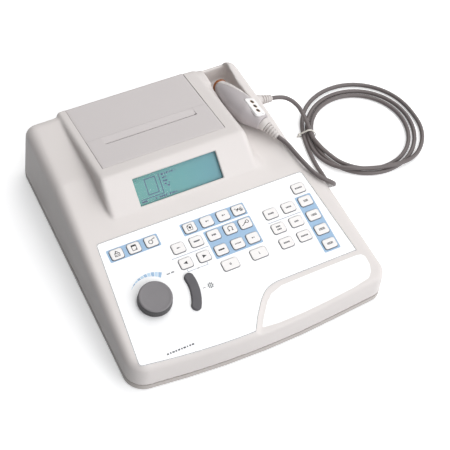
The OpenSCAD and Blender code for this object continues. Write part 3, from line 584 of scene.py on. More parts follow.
def form_rear(t):
    p = puck(-HALF_F + 22, -60, 20, t) + puck(HALF_F - 22, -60, 20, t)
    for s in (-1, 1):
        p += puck(s * (HALF_R - 18), Y_R - 18, 18, t)
    p += pball(-155.9, -60, 10.5, t) + pball(-148, 74, 14, t) + ball(-144, Y_R - 17.5, 73.6, 16, t)
    return hull(p + pball(142, -60, 12, t) + pball(138, 6, 13, t) + pball(134, 74, 14, t) + ball(130, Y_R - 16.8, 77.2, 16, t))


def crest(x, r, t):
    return ball(x, 45.5 + 0.2987 * r, 112.8 - 1.0565 * r, r, t)


def rear_ball(x, r, t):
    a = math.radians(8.6)
    return ball(x, Y_R - 0.5 - r, 110.3 - math.tan(a) * (Y_R - 0.5 - r - 62) - r / math.cos(a), r, t)


def form_block(t):
    p = crest(-106, 6, t) + crest(81, 10, t) + rear_ball(-107, 6, t) + rear_ball(82, 10, t)
    for x, r in ((-109, 6), (85, 10)):
        p += ball(x, -17 + 0.645 * r, 60 - 0.764 * r, r, t) + ball(x, Y_R - 1 - r, 50, r, t)
    return hull(p)


def recess(t):
    p = []
    for x, y, z, r in ((101.5, 150, 88, 8), (120.3, 150, 88, 8), (102.5, -8, 85.5, 8), (132, -8, 85.5, 8)):
        p += ball(x, y, z, r, -t) + disc(x, y, z + 60, r + t)
    a = hull(p)
    p = []
    for x, y, z, r in ((98.5, 182.5, 62, 3), (128.3, 182.5, 62, 3), (98.5, 140, 78, 3), (125.3, 140, 78, 3)):
        p += ball(x, y, z, r, -t) + disc(x, y, z + 80, r + t)
    combine(a, hull(p), "UNION")
    c = Build()
    c.box((96, 172, 83 - t), (130 + t, 232, 123))
    return combine(a, c.object("notch", smooth=0), "UNION")


def belly(t):
    out = None
    steps = [((108.5, 150, 83.5, 10), (109.5, 112, 93, 16.5)), ((109.5, 112, 93, 16.5), (113, 90, 95, 17.5)), ((113, 90, 95, 17.5), (122, 60, 93, 11))]
    for pair in steps:
        p = []
        for x, y, z, r in pair:
            p += ball(x, y, z, r, -t) + ball(x, y, 125, r, -t)
        h = hull(p)
        out = h if out is None else combine(out, h, "UNION")
    return out


FACET_TOP = [(92, -107.2), (212, -107.2), (260, -240), (10, -240), (37.8, -155.4), (48.2, -139.5), (61.7, -122.5), (74.2, -111.8)]
FACET_BED = [(94, -111.5), (212, -111.5), (260, -240), (16, -240), (43.5, -155.4), (53.4, -140.5), (66, -125), (77.5, -115.8)]


def facet(t):
    bed = PANEL @ move(124, -130, -2.2 - t) @ rotx(2.4) @ roty(-1.1) @ move(-124, 130, 0)
    p = [PANEL @ Vector((x, y, 0.4 - t)) for x, y in FACET_TOP] + [PANEL @ Vector((x, y, 20.4 - t)) for x, y in FACET_TOP]
    p += [bed @ Vector((x, y, 0)) for x, y in FACET_BED]
    return hull(p)


body = combine(combine(form_front(0), form_rear(0), "UNION"), form_block(0), "UNION")
for cutter in (recess(0), belly(0.8), facet(0)):
    combine(body, cutter)
body.name = "upper_case"
rm = body.modifiers.new("remesh", "REMESH")
rm.mode, rm.voxel_size, rm.adaptivity = "VOXEL", 0.00136, 0.0
settle(body)


def soften(ob, steps, weight):
    """Rounds the edges of a dense mesh: each point moves towards the middle of its neighbours."""
    me = ob.data
    co = np.empty(len(me.vertices) * 3)
    me.vertices.foreach_get("co", co)
    co = co.reshape(-1, 3)
    e = np.empty(len(me.edges) * 2, int)
    me.edges.foreach_get("vertices", e)
    a, c = e.reshape(-1, 2).T
    deg = np.bincount(a, minlength=len(co)) + np.bincount(c, minlength=len(co))
    w = weight(co)[:, None]
    for _ in range(steps):
        acc = np.empty_like(co)
        for k in range(3):
            acc[:, k] = np.bincount(a, co[c, k], len(co)) + np.bincount(c, co[a, k], len(co))
        co = co + 0.5 * w * (acc / deg[:, None] - co)
    me.vertices.foreach_set("co", co.ravel())
    me.update()


def ramp(x, a, c):
    t = np.clip((x - a) / (c - a), 0, 1)
    return t * t * (3 - 2 * t)


soften(body, 5, lambda p: np.ones(len(p)))
# the cradle's front and rim flow into the console, and the block stands in a fillet
soften(body, 45, lambda p: ramp(p[:, 0], 0.080, 0.100) * (1 - ramp(p[:, 1], 0.080, 0.120)) * ramp(p[:, 1], -0.075, -0.045) * ramp(p[:, 2], 0.055, 0.07))

# inner form: the wall's inside
inside = combine(combine(form_front(3), form_rear(3), "UNION"), form_block(3), "UNION")
for cutter in (recess(3), belly(3.8), facet(3)):
    combine(inside, cutter)
for x, y in ((-150, -140), (150, -140), (-147, 170), (147, 170)):
    c = Build()
    c.lathe([(0, 7), (4.5, 7), (4.5, 107), (0, 107)], 32, at=move(x, y, 0))
    combine(inside, c.object("pillar", smooth=0))
combine(body, inside)

KEYS = [(-73.5, -0.5, 16.4), (-51, -0.5, 16.4), (-28.3, -0.5, 16.4), (23.2, -0.8, 16.4), (46.4, -0.8, 16.4), (69, -0.8, 16.4), (90, -0.8, 16.4),
        (-1.5, -21, 16.4), (22.8, -21, 16.4), (46.4, -21, 16.4), (69, -21, 16.4), (90, -21, 16.4),
        (-1.5, -42.8, 16.4), (22.8, -42.8, 16.4), (46.4, -42.8, 16.4), (69, -42.8, 16.4), (90, -42.8, 16.4), (48.2, -64.5, 21.6), (87.4, -64.5, 21.6),
        (126, -21, 17.6), (126, -42.8, 17.6), (126, -64.5, 17.6), (151.2, -21, 17.6), (151.2, -42.8, 17.6), (151.2, -64.5, 17.6),
        (176, -1, 17.6), (176, -21, 17.6), (176, -42.8, 17.6), (176, -64.5, 17.6), (176, -86, 17.6)]
KEY_NODES = ["key_battery", "key_paper", "key_marker", "key_screen_ear", "key_tymp_minus", "key_tymp_plus", "key_probe_ear", "key_type", "key_pressure", "key_program",
             "key_phones", "key_bone", "key_left", "key_right", "key_steady", "key_pulsed", "key_auto", "key_ear_right", "key_ear_left", "key_tone", "key_test",
             "key_level_down", "key_level_up", "key_contra", "key_ipsi", "key_start", "key_freq_a", "key_freq_b", "key_freq_c", "key_freq_d"]
KNOB = (-56.5, -73.5)
BAR_C, BAR_R, BAR_A = (-61, -70), 55.2, (-31, 8.3)


def bar_outline(w):
    a0, a1 = BAR_A
    e0 = (BAR_R * math.cos(math.radians(a0)), BAR_R * math.sin(math.radians(a0)))
    e1 = (BAR_R * math.cos(math.radians(a1)), BAR_R * math.sin(math.radians(a1)))
    pts = arc((0, 0), BAR_R + w / 2, a0, a1, 26) + arc(e1, w / 2, a1 + 12, a1 + 168, 13) + arc((0, 0), BAR_R - w / 2, a1, a0, 26) + arc(e0, w / 2, a0 + 192, a0 + 348, 13)
    return [(p[0] + BAR_C[0], p[1] + BAR_C[1]) for p in pts]


def panel_cutters(z0, z1, grow=0.55):
    c = Build()
    for x, y, w in KEYS:
        c.prism(rr(w + 2 * grow, 14 + 2 * grow, 3 + grow, 6, x, y), z0, z1, at=PANEL)
    c.prism(bar_outline(12.7), z0, z1, at=PANEL)
    c.prism(arc(KNOB, 5.2, 0, 352.5, 47), z0, z1, at=PANEL)
    return c.object("cutters", smooth=0)


def smooth_outline(pts, cuts):
    """Rounds the corners named in cuts {index: radius}."""
    out, n = [], len(pts)
    for i, p in enumerate(pts):
        if i not in cuts:
            out.append(p)
            continue
        p, a, c = Vector(p), Vector(pts[i - 1]), Vector(pts[(i + 1) % n])
        da, dc = (a - p).normalized(), (c - p).normalized()
        half = da.angle(dc) / 2
        d = cuts[i] / math.tan(half)
        s, e = p + da * d, p + dc * d
        for k in range(9):
            t = k / 8
            out.append(tuple((1 - t) ** 2 * s + 2 * t * (1 - t) * p + t * t * e))
    return out


OVERLAY = [(-91.5, 21), (-106.6, -142)] + [(x, -155.6 + 13.4 * ((x - 51) / 153) ** 2) for x in range(-88, 31, 8)] + [(37.8, -155.2)]
OVERLAY += [tuple(p.to_2d()) for p in catmull([(48, -139.5, 0), (61.5, -122.5, 0), (67, -117, 0), (74, -111.8, 0), (82, -108.6, 0), (92, -107, 0)], 4)]
OVERLAY += [(203.6, -107), (191.5, 20.5)]
OVERLAY = smooth_outline(OVERLAY, {0: 4.5, 1: 6, len(OVERLAY) - 2: 1, len(OVERLAY) - 1: 5})
GROWN = []
for i, p in enumerate(OVERLAY):
    a, c = Vector(OVERLAY[i - 1]), Vector(OVERLAY[(i + 1) % len(OVERLAY)])
    d = (c - a).normalized()
    GROWN.append((p[0] - d.y * 0.3, p[1] + d.x * 0.3))
if sum(GROWN[i - 1][0] * GROWN[i][1] - GROWN[i][0] * GROWN[i - 1][1] for i in range(len(GROWN))) ** 2 < sum(OVERLAY[i - 1][0] * OVERLAY[i][1] - OVERLAY[i][0] * OVERLAY[i - 1][1] for i in range(len(OVERLAY))) ** 2:
    GROWN = [(2 * p[0] - g[0], 2 * p[1] - g[1]) for p, g in zip(OVERLAY, GROWN)]

cut = Build()
cut.box((-200, -220, 5), (200, 220, 11))
combine(body, cut.object("seam_line", smooth=0))
cut = Build()
cut.prism(GROWN, -0.62, 9, at=PANEL)
combine(body, cut.object("bed", smooth=0))
combine(body, panel_cutters(-8, 4))
cut = Build()
cut.prism(rr(114, 35.5, 0.6, 3, 36.5, 22.25), -10, 6, at=FACE)
combine(body, cut.object("display_hole", smooth=0))
cut = Build()
ring0, ring1 = rr(114, 35.5, 0.6, 4, 36.5, 22.25), rr(116.4, 37.9, 1.6, 4, 36.5, 22.25)
cut.loft([[(p[0], p[1], -0.9) for p in ring0], [(p[0], p[1], 0.25) for p in ring1], [(p[0], p[1], 3) for p in ring1]], at=FACE)
combine(body, cut.object("display_chamfer", smooth=0))
cut = Build()
cut.prism(rr(169, 160.5, 0.7, 3, -16, 80.75), -14, 26, at=TOP)
combine(body, cut.object("door_hole", smooth=0))
cut = Build()
cut.box((-100.5, 178, 71.6), (68.5, 208, 112))
combine(body, cut.object("door_rear", smooth=0))
for x, y in ((-150, -140), (150, -140), (-147, 170), (147, 170)):
    c = Build()
    c.lathe([(0, -1), (1.55, -1), (1.55, 34), (0, 34)], 24, at=move(x, y, 0))
    combine(body, c.object("pilot", smooth=0))
cut = Build()
cut.box((-133, 180, 17), (-103, 210, 67))
combine(body, cut.object("inlet_hole", smooth=0))
cut = Build()
cut.lathe([(0, -16), (8.5, -16), (8.5, 24), (0, 24)], 64, at=PLUG)
combine(body, cut.object("plug_hole", smooth=0))
body.data.materials.clear()
body.data.materials.append(M["case"])
shade(body, 32)
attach(body, BODY)
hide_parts("top_housing")
print("case faces", len(body.data.polygons))

# ---------------------------------------------------------------- overlay and its print
b = Build()
b.prism(OVERLAY, -0.6, -0.1, at=PANEL)
film = b.object("keypad_film", smooth=0)
combine(film, panel_cutters(-3, 3))
film.data.materials.clear()
film.data.materials.append(M["overlay"])
shade(film, 25)
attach(film, BODY)
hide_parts("keypad_overlay")

# white field on the bare front right facet
BED = PANEL @ move(124, -130, -2.2) @ rotx(2.4) @ roty(-1.1) @ move(-124, 130, 0)
field = smooth_outline([(48, -152.4), (56.5, -140.3), (68.5, -125.2), (79.2, -116.6), (94.5, -112.8), (150, -112.6), (200, -113), (206, -114.3), (209.3, -118.5), (209.5, -130),
                        (206, -139.5), (199.5, -145.8), (176, -149.8), (139, -152.8), (104, -154.6), (70.7, -154.8)], {0: 1.5, 2: 9, 3: 9, 4: 8, 7: 3, 8: 3, 9: 4, 10: 4, 11: 5})
b = Build()
b.prism(field, -0.5, 0.06, at=BED)
white = b.object("facet_field", [M["overlay"]], 25)
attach(white, BODY)

PZ = -0.1
prints = [M["blue"], M["blue_edge"], M["blue_pale"], M["line"], M["line_dark_and_edge_shade"]]


def strip(x0, y0, x1, y1):
    e = Build()
    e.prism(rr(x1 - x0, y1 - y0, 1.6, 5, (x0 + x1) / 2, (y0 + y1) / 2), PZ - 0.25, PZ + 0.025, 1, at=PANEL)
    o1 = e.object("strip_edge", prints, 0)
    e = Build()
    e.prism(rr(x1 - x0 - 2.0, y1 - y0 - 1.5, 1.2, 5, (x0 + x1) / 2 - 0.1, (y0 + y1) / 2 + 0.15), PZ - 0.2, PZ + 0.05, 0, at=PANEL)
    o2 = e.object("strip_fill", prints, 0)
    return combine(o1, o2, "UNION")


strips = None
for x0, y0, x1, y1 in ((-84.5, -9, -18, 8), (12.5, -9.7, 100, 7.5), (35.5, -52.5, 100, -12.5), (164.5, -95.5, 187, -12)):
    o = strip(x0, y0, x1, y1)
    strips = o if strips is None else combine(strips, o, "UNION")
combine(strips, panel_cutters(-3, 3))
while len(strips.data.materials):
    strips.data.materials.pop()
for x in prints:
    strips.data.materials.append(x)
strips.name = "panel_print_strips"
shade(strips, 25)
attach(strips, BODY)

b = Build()
for pts in ([(-15, -32), (34, -32)], [(117, -32.5), (163, -32.5)]):
    stroke(b, pts, 0.95, PZ - 0.2, PZ + 0.03, 3, PANEL)
stroke(b, [(-3.5, -51), (-3.5, -54.2), (7.6, -54.2)], 0.8, PZ - 0.2, PZ + 0.03, 3, PANEL)
stroke(b, [(12.4, -54.2), (23, -54.2), (23, -51)], 0.8, PZ - 0.2, PZ + 0.03, 3, PANEL)
for x in (8.8, 10, 11.2):
    b.prism(rr(0.9, 1.3, 0.3, 3, x, -54.2), PZ - 0.2, PZ + 0.03, 4, PANEL)
# level wedge over the knob
for i in range(10):
    f0, f1 = i / 10, (i + 0.86) / 10
    a0, a1 = 142.5 - 87.9 * f0, 142.5 - 87.9 * f1
    o0, o1 = 31.5, 31.5
    i0, i1 = 31.2 - 6.9 * f0, 31.2 - 6.9 * f1
    p = arc((-51, -69), 31.5, a0, a1, 4) + [(-51 + r_ * math.cos(math.radians(a)), -69 + r_ * math.sin(math.radians(a))) for r_, a in ((i1, a1), ((i0 + i1) / 2, (a0 + a1) / 2), (i0, a0))]
    b.prism(p, PZ - 0.2, PZ + 0.03, 0 if i % 2 else 2, PANEL)
# short marks by the wedge and the bar
for x in (-28.5, -26.9, -25.3, -22.6, -21.2, -19.9):
    b.prism(rr(1.15, 1.9, 0.2, 2, x, -47.6 + (x + 24) * 0.02), PZ - 0.2, PZ + 0.03, 4, PANEL)
stroke(b, [(3.6, -80.6), (6.6, -80.6)], 0.8, PZ - 0.2, PZ + 0.03, 4, PANEL)
star = []
for i in range(16):
    r_ = 2.5 if i % 2 == 0 else 1.35
    star.append((13.6 + r_ * 1.5 * math.cos(math.pi * i / 8), -80.4 + r_ * 1.5 * math.sin(math.pi * i / 8)))
stroke(b, star, 0.8, PZ - 0.2, PZ + 0.03, 4, PANEL, closed=True)
b.prism(arc((13.6, -80.4), 1.0, 0, 330, 11), PZ - 0.2, PZ + 0.03, 4, PANEL)
# a row of plain dashes along the front edge
for k, w in enumerate((2.0, 1.2, 2.6, 1.6, 2.2, 1.4, 2.6, 1.0, 1.8, 2.4)):
    b.prism(rr(w + 0.4, 2.0, 0.2, 2, -70 + 3.55 * k, -140.6), PZ - 0.2, PZ + 0.03, 4, PANEL)
# a thin dark ring just inside the film's outline: painted shade for the shade in the gap at the film's edge
edge = [(p[0] - (g[0] - p[0]) * 1.6, p[1] - (g[1] - p[1]) * 1.6) for p, g in zip(OVERLAY, GROWN)]
stroke(b, edge, 0.5, PZ - 0.2, PZ + 0.02, 4, PANEL, closed=True)
marks = b.object("panel_print_marks", prints, 25)
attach(marks, BODY)

# ---------------------------------------------------------------- keys
DIGITS = {"0": [[(0, 0), (1, 0), (1, 2), (0, 2), (0, 0)]], "1": [[(0.15, 1.55), (0.55, 2), (0.55, 0)]], "2": [[(0, 1.7), (0.3, 2), (0.8, 2), (1, 1.6), (0, 0), (1, 0)]],
          "4": [[(0.8, 0), (0.8, 2), (0, 0.65), (1.1, 0.65)]], "5": [[(1, 2), (0.1, 2), (0, 1.15), (0.7, 1.2), (1, 0.8), (0.9, 0.2), (0.5, 0), (0, 0.15)]]}
TOPZ = 1.36


def glyph(b, i):
    """Plain symbol on a key cap, in the cap's own plane."""
    z0, z1 = 0.7, TOPZ + 0.03

    def line(pts, w=0.42, mat=1, closed=False):
        stroke(b, [(p[0] * 1.14, p[1] * 1.14) for p in pts], w * 1.75, z0, z1, mat, closed=closed)

    def blot(pts, mat=1):
        b.prism([(p[0] * 1.14, p[1] * (1.14 if mat == 1 else 1.3)) for p in pts], z0, z1, mat)
    if i == 0:
        line([(-2.6, -3), (2.6, -3), (3.0, 0.4), (-2.2, 0.4)], closed=True)
        line([(-1.8, 0.6), (-0.2, 3.4), (2.0, 1.0)])
        blot([(-2.4, 0.5), (-0.5, 3.3), (0.3, 2.6), (-1.2, 0.5)])
        line([(-1.5, -1.5), (1.8, -1.5)], 0.35)
    elif i == 1:
        line([(-2.5, -3.2), (2.3, -3.2), (2.5, 3), (-2.5, 3)], closed=True)
        blot([(-3.0, 1.4), (3.0, 1.4), (2.8, 3.3), (-2.8, 3.3)])
        line([(1.1, -2.4), (2.5, -1.6), (2.3, 0.6)], 0.4)
    elif i == 2:
        line(arc((-0.9, -0.6), 2.2, 0, 330, 16), 0.45, closed=True)
        line([(0.7, 1.0), (2.2, 2.4), (4.4, 2.5)], 0.45)
        blot(rr(1.3, 1.1, 0.3, 3, 4.2, 2.6))
    elif i == 3:
        line([(-2.8, -3.2), (2.6, -3.2), (2.8, 3.2), (-1.4, 3.2), (-2.8, 1.8)], 0.38, closed=True)
        blot([(0.1, -1.9), (1.9, -0.1), (0.1, 1.7), (-1.7, -0.1)])
        line([(-2.8, 1.8), (-1.3, 1.7), (-1.4, 3.2)], 0.3)
    elif i in (4, 5):
        blot(rr(1.9, 1.5, 0.5, 4, -0.6, 0), 2)
        blot(rr(1.1, 1.1, 0.3, 4, 1.5, 0.1), 2)
    elif i == 6:
        line([(-4.6, 1.2), (-3.2, 2.2), (-1.6, 0.9), (-2.8, -0.6)], 0.35)
        line([(-2.0, -1.6), (0.2, 1.8), (1.6, -0.8), (3.2, 2.2), (4.6, 1.8)], 0.4)
        line([(1.8, -2.2), (4.8, -2.2), (4.8, 0.4), (1.8, 0.4)], 0.35, closed=True)
        blot(rr(1.7, 1.5, 0.3, 3, -0.6, 0.1))
        blot(rr(1.5, 1.5, 0.3, 3, 3.2, -0.9), 2)
    elif i == 7:
        blot(rr(2.8, 1.2, 0.3, 3, -0.5, 0), 2)
        blot(rr(0.8, 0.8, 0.3, 3, 1.7, 0), 2)
    elif i == 8:
        blot(rr(6.0, 1.5, 0.35, 3, -0.2, 0), 2)
        blot(rr(1.0, 1.6, 0.3, 3, 3.4, 0.2), 2)
    elif i == 9:
        for x in (-1.7, 0.3, 1.9):
            blot(rr(1.5, 1.7, 0.35, 3, x, 0), 2)
    elif i == 10:
        line(arc((0, 0.4), 2.5, -55, 235, 18), 0.5)
        blot(rr(1.7, 1.1, 0.3, 3, -2.1, -2.2))
        blot(rr(1.7, 1.1, 0.3, 3, 2.1, -2.2))
    elif i == 11:
        line(arc((2.6, 1.3), 1.7, 0, 330, 14), 0.42, closed=True)
        line([(1.2, 0.6), (-1.2, -0.2), (-2.4, -1.4), (-4.6, -2.2)], 0.42)
        line([(-1.2, -0.2), (-0.4, 0.8), (1.0, 1.6)], 0.35)
    elif i == 12:
        blot([(-2.9, 0), (1.6, -1.9), (1.6, 1.9)])
    elif i == 13:
        blot([(2.9, 0), (-1.6, -1.9), (-1.6, 1.9)])
    elif i == 14:
        blot(rr(7.0, 1.7, 0.25, 3, 0, 0))
    elif i == 15:
        for k in range(5):
            blot(rr(1.15, 1.3, 0.4, 3, -3.0 + 1.5 * k, 0))
    elif i == 16:
        blot(rr(1.9, 1.2, 0.4, 3, -0.7, 0), 2)
        blot(rr(0.9, 1.2, 0.4, 3, 1.3, 0), 2)
    elif i == 17:
        line(arc((0, 0), 0.85, 0, 330, 10), 0.45, 2, closed=True)
    elif i == 18:
        line([(0.1, 1.3), (0.1, -1.2), (0.7, -1.3)], 0.42, 2)
    elif i in (19, 20, 21, 22, 23, 24, 25):
        widths = {19: (1.1, 0.9, 1.2, 1.0), 20: (1.1, 1.3, 0.9), 21: (1.2, 1.1, 1.0, 1.2), 22: (0.7, 1.2, 1.0, 1.1), 23: (1.0, 1.1, 0.9), 24: (1.1, 1.0, 1.2, 0.8, 1.0), 25: (1.2, 0.9, 1.1, 1.2, 0.9)}[i]
        widths = [1.25 * w for w in widths]
        total = sum(widths) + 0.45 * (len(widths) - 1)
        x = -total / 2
        for w in widths:
            for y in ((1.5, -1.5) if i == 20 else (0,)):
                blot(rr(w + 0.15, 1.6, 0.3, 3, x + w / 2, y), 2)
            x += w + 0.45
    else:
        text = {26: "500", 27: "1000", 28: "2000", 29: "4000"}[i]
        total = 1.1 * len(text) + 0.75 * (len(text) - 1)
        x = -total / 2
        for ch in text:
            for path in DIGITS[ch]:
                line([(x + p[0] * 1.1, p[1] * 1.0 - 1.0) for p in path], 0.34)
            x += 1.85


for i, (x, y, w) in enumerate(KEYS):
    b = Build()
    d = 14.0
    rings = []
    for off, z, r_ in ((-1.5, -4.4, 3.8), (-1.5, -3.25, 3.8), (0, -3.2, 3), (0, 0.35, 3), (0.1, 0.72, 2.95), (0.32, 1.02, 2.8), (0.65, 1.22, 2.6), (1.1, 1.33, 2.3), (1.7, TOPZ, 1.9), (2.6, TOPZ, 1.2), (4.0, TOPZ, 0.6)):
        rings.append([(p[0], p[1], z) for p in rr(w - 2 * off, d - 2 * off, max(r_, 0.4), 8)])
    # the skirt and lower sides take the grey skirt colour: painted shade for the gap round the key
    b.loft(rings, mats=[3] * 5 + [0] * 7)
    b.lathe([(0, -7.6), (2.5, -7.6), (2.5, -4.3), (0, -4.3)], 32)
    glyph(b, i)
    M4 = PANEL @ move(x, y, 0)
    b.v = [tuple(MM * c for c in (M4 @ (Vector(p) / MM))) for p in b.v]
    cap = b.object(KEY_NODES[i] + "_cap", [M["key"], M["ink"], M["ink_soft"], M["key_gap_shade"]], 32)
    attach(cap, KEY_NODES[i] + "_cap")
    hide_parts(KEY_NODES[i])

# ---------------------------------------------------------------- level knob and present bar
b = Build()
r0, h0 = 21.2, 12.8
prof = [(0, 0.5), (r0 - 1.2, 0.5), (r0 - 0.4, 0.7), (r0, 1.2), (r0, 2.2), (r0 - 0.75, h0 - 1.7), (r0 - 1.0, h0 - 0.9), (r0 - 1.5, h0 - 0.3), (r0 - 2.2, h0 - 0.02), (r0 - 2.9, h0)]
top = [(r0 - 3.4, h0 - 0.05), (r0 - 4.4, h0 - 0.3), (r0 - 6, h0 - 0.36), (8, h0 - 0.42), (4, h0 - 0.45), (0, h0 - 0.46)]
# the side and grip ribs take the darker copy of the knob grey: painted shade
mats = [1] * 6 + [0] * (len(prof) + len(top) - 6)
b.lathe(prof + top, 128, mats=mats)
b.lathe([(0, -8.4), (3, -8.4), (3, 1.2), (0, 1.2)], 48)
M4 = PANEL @ move(*KNOB, 0)
for k in range(48):
    a = 360 / 48 * k
    q = rotz(a) @ move(r0 - 0.42, 0, 2.0) @ roty(-4.2)
    b.prism(rr(0.9, 0.62, 0.28, 3), 0, 7.6, 1, at=q)
b.v = [tuple(MM * c for c in (M4 @ (Vector(p) / MM))) for p in b.v]
knob = b.object("level_knob_cap", [M["knob"], M["knob_side"], M["knob_side"]], 32)
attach(knob, "knob")
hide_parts("level_knob")

b = Build()
rings = []
for w, z in ((15, -4.6), (15, -3.2), (12, -3.2), (12, 2.0), (11.8, 2.5), (11.3, 2.95), (10.6, 3.25), (9.6, 3.38), (7.4, 3.4), (5, 3.4)):
    rings.append([(p[0], p[1], z) for p in bar_outline(w)])
b.loft(rings, mats=[0] * len(rings), at=PANEL)
for a in (-25, 2):
    b.lathe([(0, -7.4), (2, -7.4), (2, -4.4), (0, -4.4)], 32, at=PANEL @ move(BAR_C[0] + BAR_R * math.cos(math.radians(a)), BAR_C[1] + BAR_R * math.sin(math.radians(a)), 0))
bar = b.object("present_bar_cap", [M["bar"]], 30)
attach(bar, "bar")
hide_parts("present_bar")

# ---------------------------------------------------------------- display
b = Build()
D = FACE @ move(0, 0, -5.5)
b.box((-21.4, 3.6, -0.6), (94.4, 40.9, 0), 0, D)
b.box((-26, -1, -4.2), (99, 45.5, -0.7), 2, D)
b.box((-30, -3, -5.7), (103, 47.5, -4.1), 3, D)
for x0, y0, x1, y1 in ((-26, -1, -21.5, 45.5), (94.5, -1, 99, 45.5), (-21.6, -1, 94.6, 3.5), (-21.6, 41, 94.6, 45.5)):
    b.box((x0, y0, -0.8), (x1, y1, 0.65), 2, D)
ink = 1
z0, z1 = -0.3, 0.03


def seg(pts, w=0.55, closed=False):
    stroke(b, pts, w * 1.7, z0, z1, ink, D, closed)


seg([(-5, 14.5), (9, 14.5), (9, 34.5), (-5, 34.5)], 0.6, True)
seg([(14.5, 36), (14.5, 11), (-16, 11)], 0.55)
seg([(-16, 36), (-16, 34.6)], 0.4)
for k in range(5):
    seg([(13.2, 15 + 4.6 * k), (14.5, 15 + 4.6 * k)], 0.4)
for k, w in enumerate((2.6, 1.2, 2.2, 1.4, 2.4)):
    b.prism(rr(w, 2.3, 0.2, 2, 19 + 3.4 * k, 34), z0, z1, ink, D)
for k, (x, y, w) in enumerate(((19.2, 29.6, 2.2), (22.4, 29.6, 1.6), (19, 25.4, 1.8), (22, 25, 2.6), (20, 21.2, 2.4), (25.2, 21.4, 1.2), (23.4, 18.4, 2.6))):
    b.prism(rr(w * 1.15, 2.0, 0.2, 2, x, y), z0, z1, ink, D)
b.prism(rr(7.4, 1.8, 0.2, 2, -12.6, 8.3), z0, z1, ink, D)
for k, (x, w) in enumerate(((3, 1.6), (8.6, 2), (11.2, 1.4), (13.6, 2), (16.8, 1.6), (22, 1.8), (24.6, 1.4), (27.2, 2.2), (30.4, 1.8))):
    b.prism(rr(w * 1.1, 2.0, 0.2, 2, x, 8), z0, z1, ink, D)
for k, (x, w) in enumerate(((37.4, 1.6),)):
    b.prism(rr(w, 1.5, 0.2, 2, x, 34.2), z0, z1, ink, D)
lcd = b.object("display_panel", [M["display"], M["lcd_ink"], M["bezel"], M["pcb"]], 25)
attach(lcd, BODY)
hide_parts("lcd_module")

# ---------------------------------------------------------------- printer door
DX0, DX1 = -100.0, 68.0
TH = math.radians(8.6)
RC = (183.86, 84.19)


def top_yz(s, n):
    return (62 + s * math.cos(TH) + n * math.sin(TH), 110.3 - s * math.sin(TH) + n * math.cos(TH))


def door_ring(x, shrink, dip):
    """Section of the door at x: outer face with the trough behind the slot, rounded rear edge, skirt, and back inside."""
    pts = []
    s_list = [1.0, 1.1, 1.45, 2.2, 8, 16, 24, 32, 38, 40.4, 41.19, 41.21, 42.8, 44, 47, 50, 53, 54.6, 55.2, 55.5, 55.8, 56.1, 56.4, 57.2, 58.5, 64, 74, 86, 98, 110, 120, 124.4]
    for s in s_list:
        n = 0.0
        if s == 1.0:
            n = -0.55
        elif s == 1.1:
            n = -0.22
        elif s == 1.45:
            n = -0.05
        if 41.2 < s <= 42.8:
            n = -1.0 * dip
        elif 42.8 < s < 55.5:
            n = (-1.0 * (55.5 - s) / 12.7) * dip
        n -= 0.35 * float(ramp(np.array([s]), 55.2, 56.4)[0])
        pts.append(top_yz(s, n - shrink))
    for k in range(1, 15):
        a = math.radians(90 - 8.6) * (1 - k / 14)
        r_ = 7.6 - shrink - 0.35 * (1 - min(1, k / 5))
        pts.append((RC[0] + r_ * math.cos(a), RC[1] + r_ * math.sin(a)))
    pts += [(RC[0] + 7.6 - shrink, 76.5), (RC[0] + 7.3 - shrink, 76.1), (RC[0] + 6.9 - shrink, 76), (RC[0] + 5.2, 76)]
    for k in range(13):
        a = math.radians(90 - 8.6) * (k / 12)
        pts.append((RC[0] + 5.2 * math.cos(a), RC[1] + 5.2 * math.sin(a)))
    pts += [top_yz(s, -2.4) for s in (110, 90, 70, 50, 30, 15, 1.0)]
    return [(x, p[0], p[1]) for p in pts]


b = Build()
xs = [(DX0, 0.5, 0), (DX0 + 0.08, 0.24, 0), (DX0 + 0.25, 0.08, 0), (DX0 + 0.6, 0, 0)]
xs += [(x, 0, 0) for x in (-95, -88, -82)]
xs += [(-79.6, 0, 0), (-79.4, 0, 1)] + [(x, 0, 1) for x in range(-72, 47, 8)] + [(47.9, 0, 1), (48.1, 0, 0)]
xs += [(x, 0, 0) for x in (52, 58, 64)] + [(DX1 - 0.6, 0, 0), (DX1 - 0.25, 0.08, 0), (DX1 - 0.08, 0.24, 0), (DX1, 0.5, 0)]
b.loft([door_ring(*x) for x in xs])
door = b.object("printer_door_panel", [M["door"]], 22)
c = Build()
c.prism(rr(127.4, 1.9, 0.3, 3, -15.75, 42.0), -6, 5, at=TOP)
c.prism(rr(3.2, 2.6, 1.0, 5, 46.6, 42.9), -6, 5, at=TOP)
combine(door, c.object("slot", smooth=0))
c = Build()
for x in (-80, 46):
    ear = [(183 + 4 * math.cos(math.radians(a)), 83 + 4 * math.sin(math.radians(a))) for a in range(150, 391, 12)] + [(184.5, 89.6), (181.5, 90.2)]
    v = [(x, p[0], p[1]) for p in ear] + [(x + 3, p[0], p[1]) for p in ear]
    n = len(ear)
    c.add(v, [list(range(n)), list(range(n, 2 * n))[::-1]] + [[i, (i + 1) % n, n + (i + 1) % n, n + i] for i in range(n)])
combine(door, c.object("ears", smooth=0), "UNION")
c = Build()
for x0, x1 in ((-77.5, -73.9), (42.9, 46.5)):
    c.lathe([(0, x0), (2, x0), (2, x1), (0, x1)], 40, at=Matrix(((0, 0, 1, 0), (1, 0, 0, 183), (0, 1, 0, 83), (0, 0, 0, 1))))
combine(door, c.object("pins", smooth=0), "UNION")
door.data.materials.clear()
door.data.materials.append(M["door"])
shade(door, 22)
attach(door, "door")
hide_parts("printer_door")
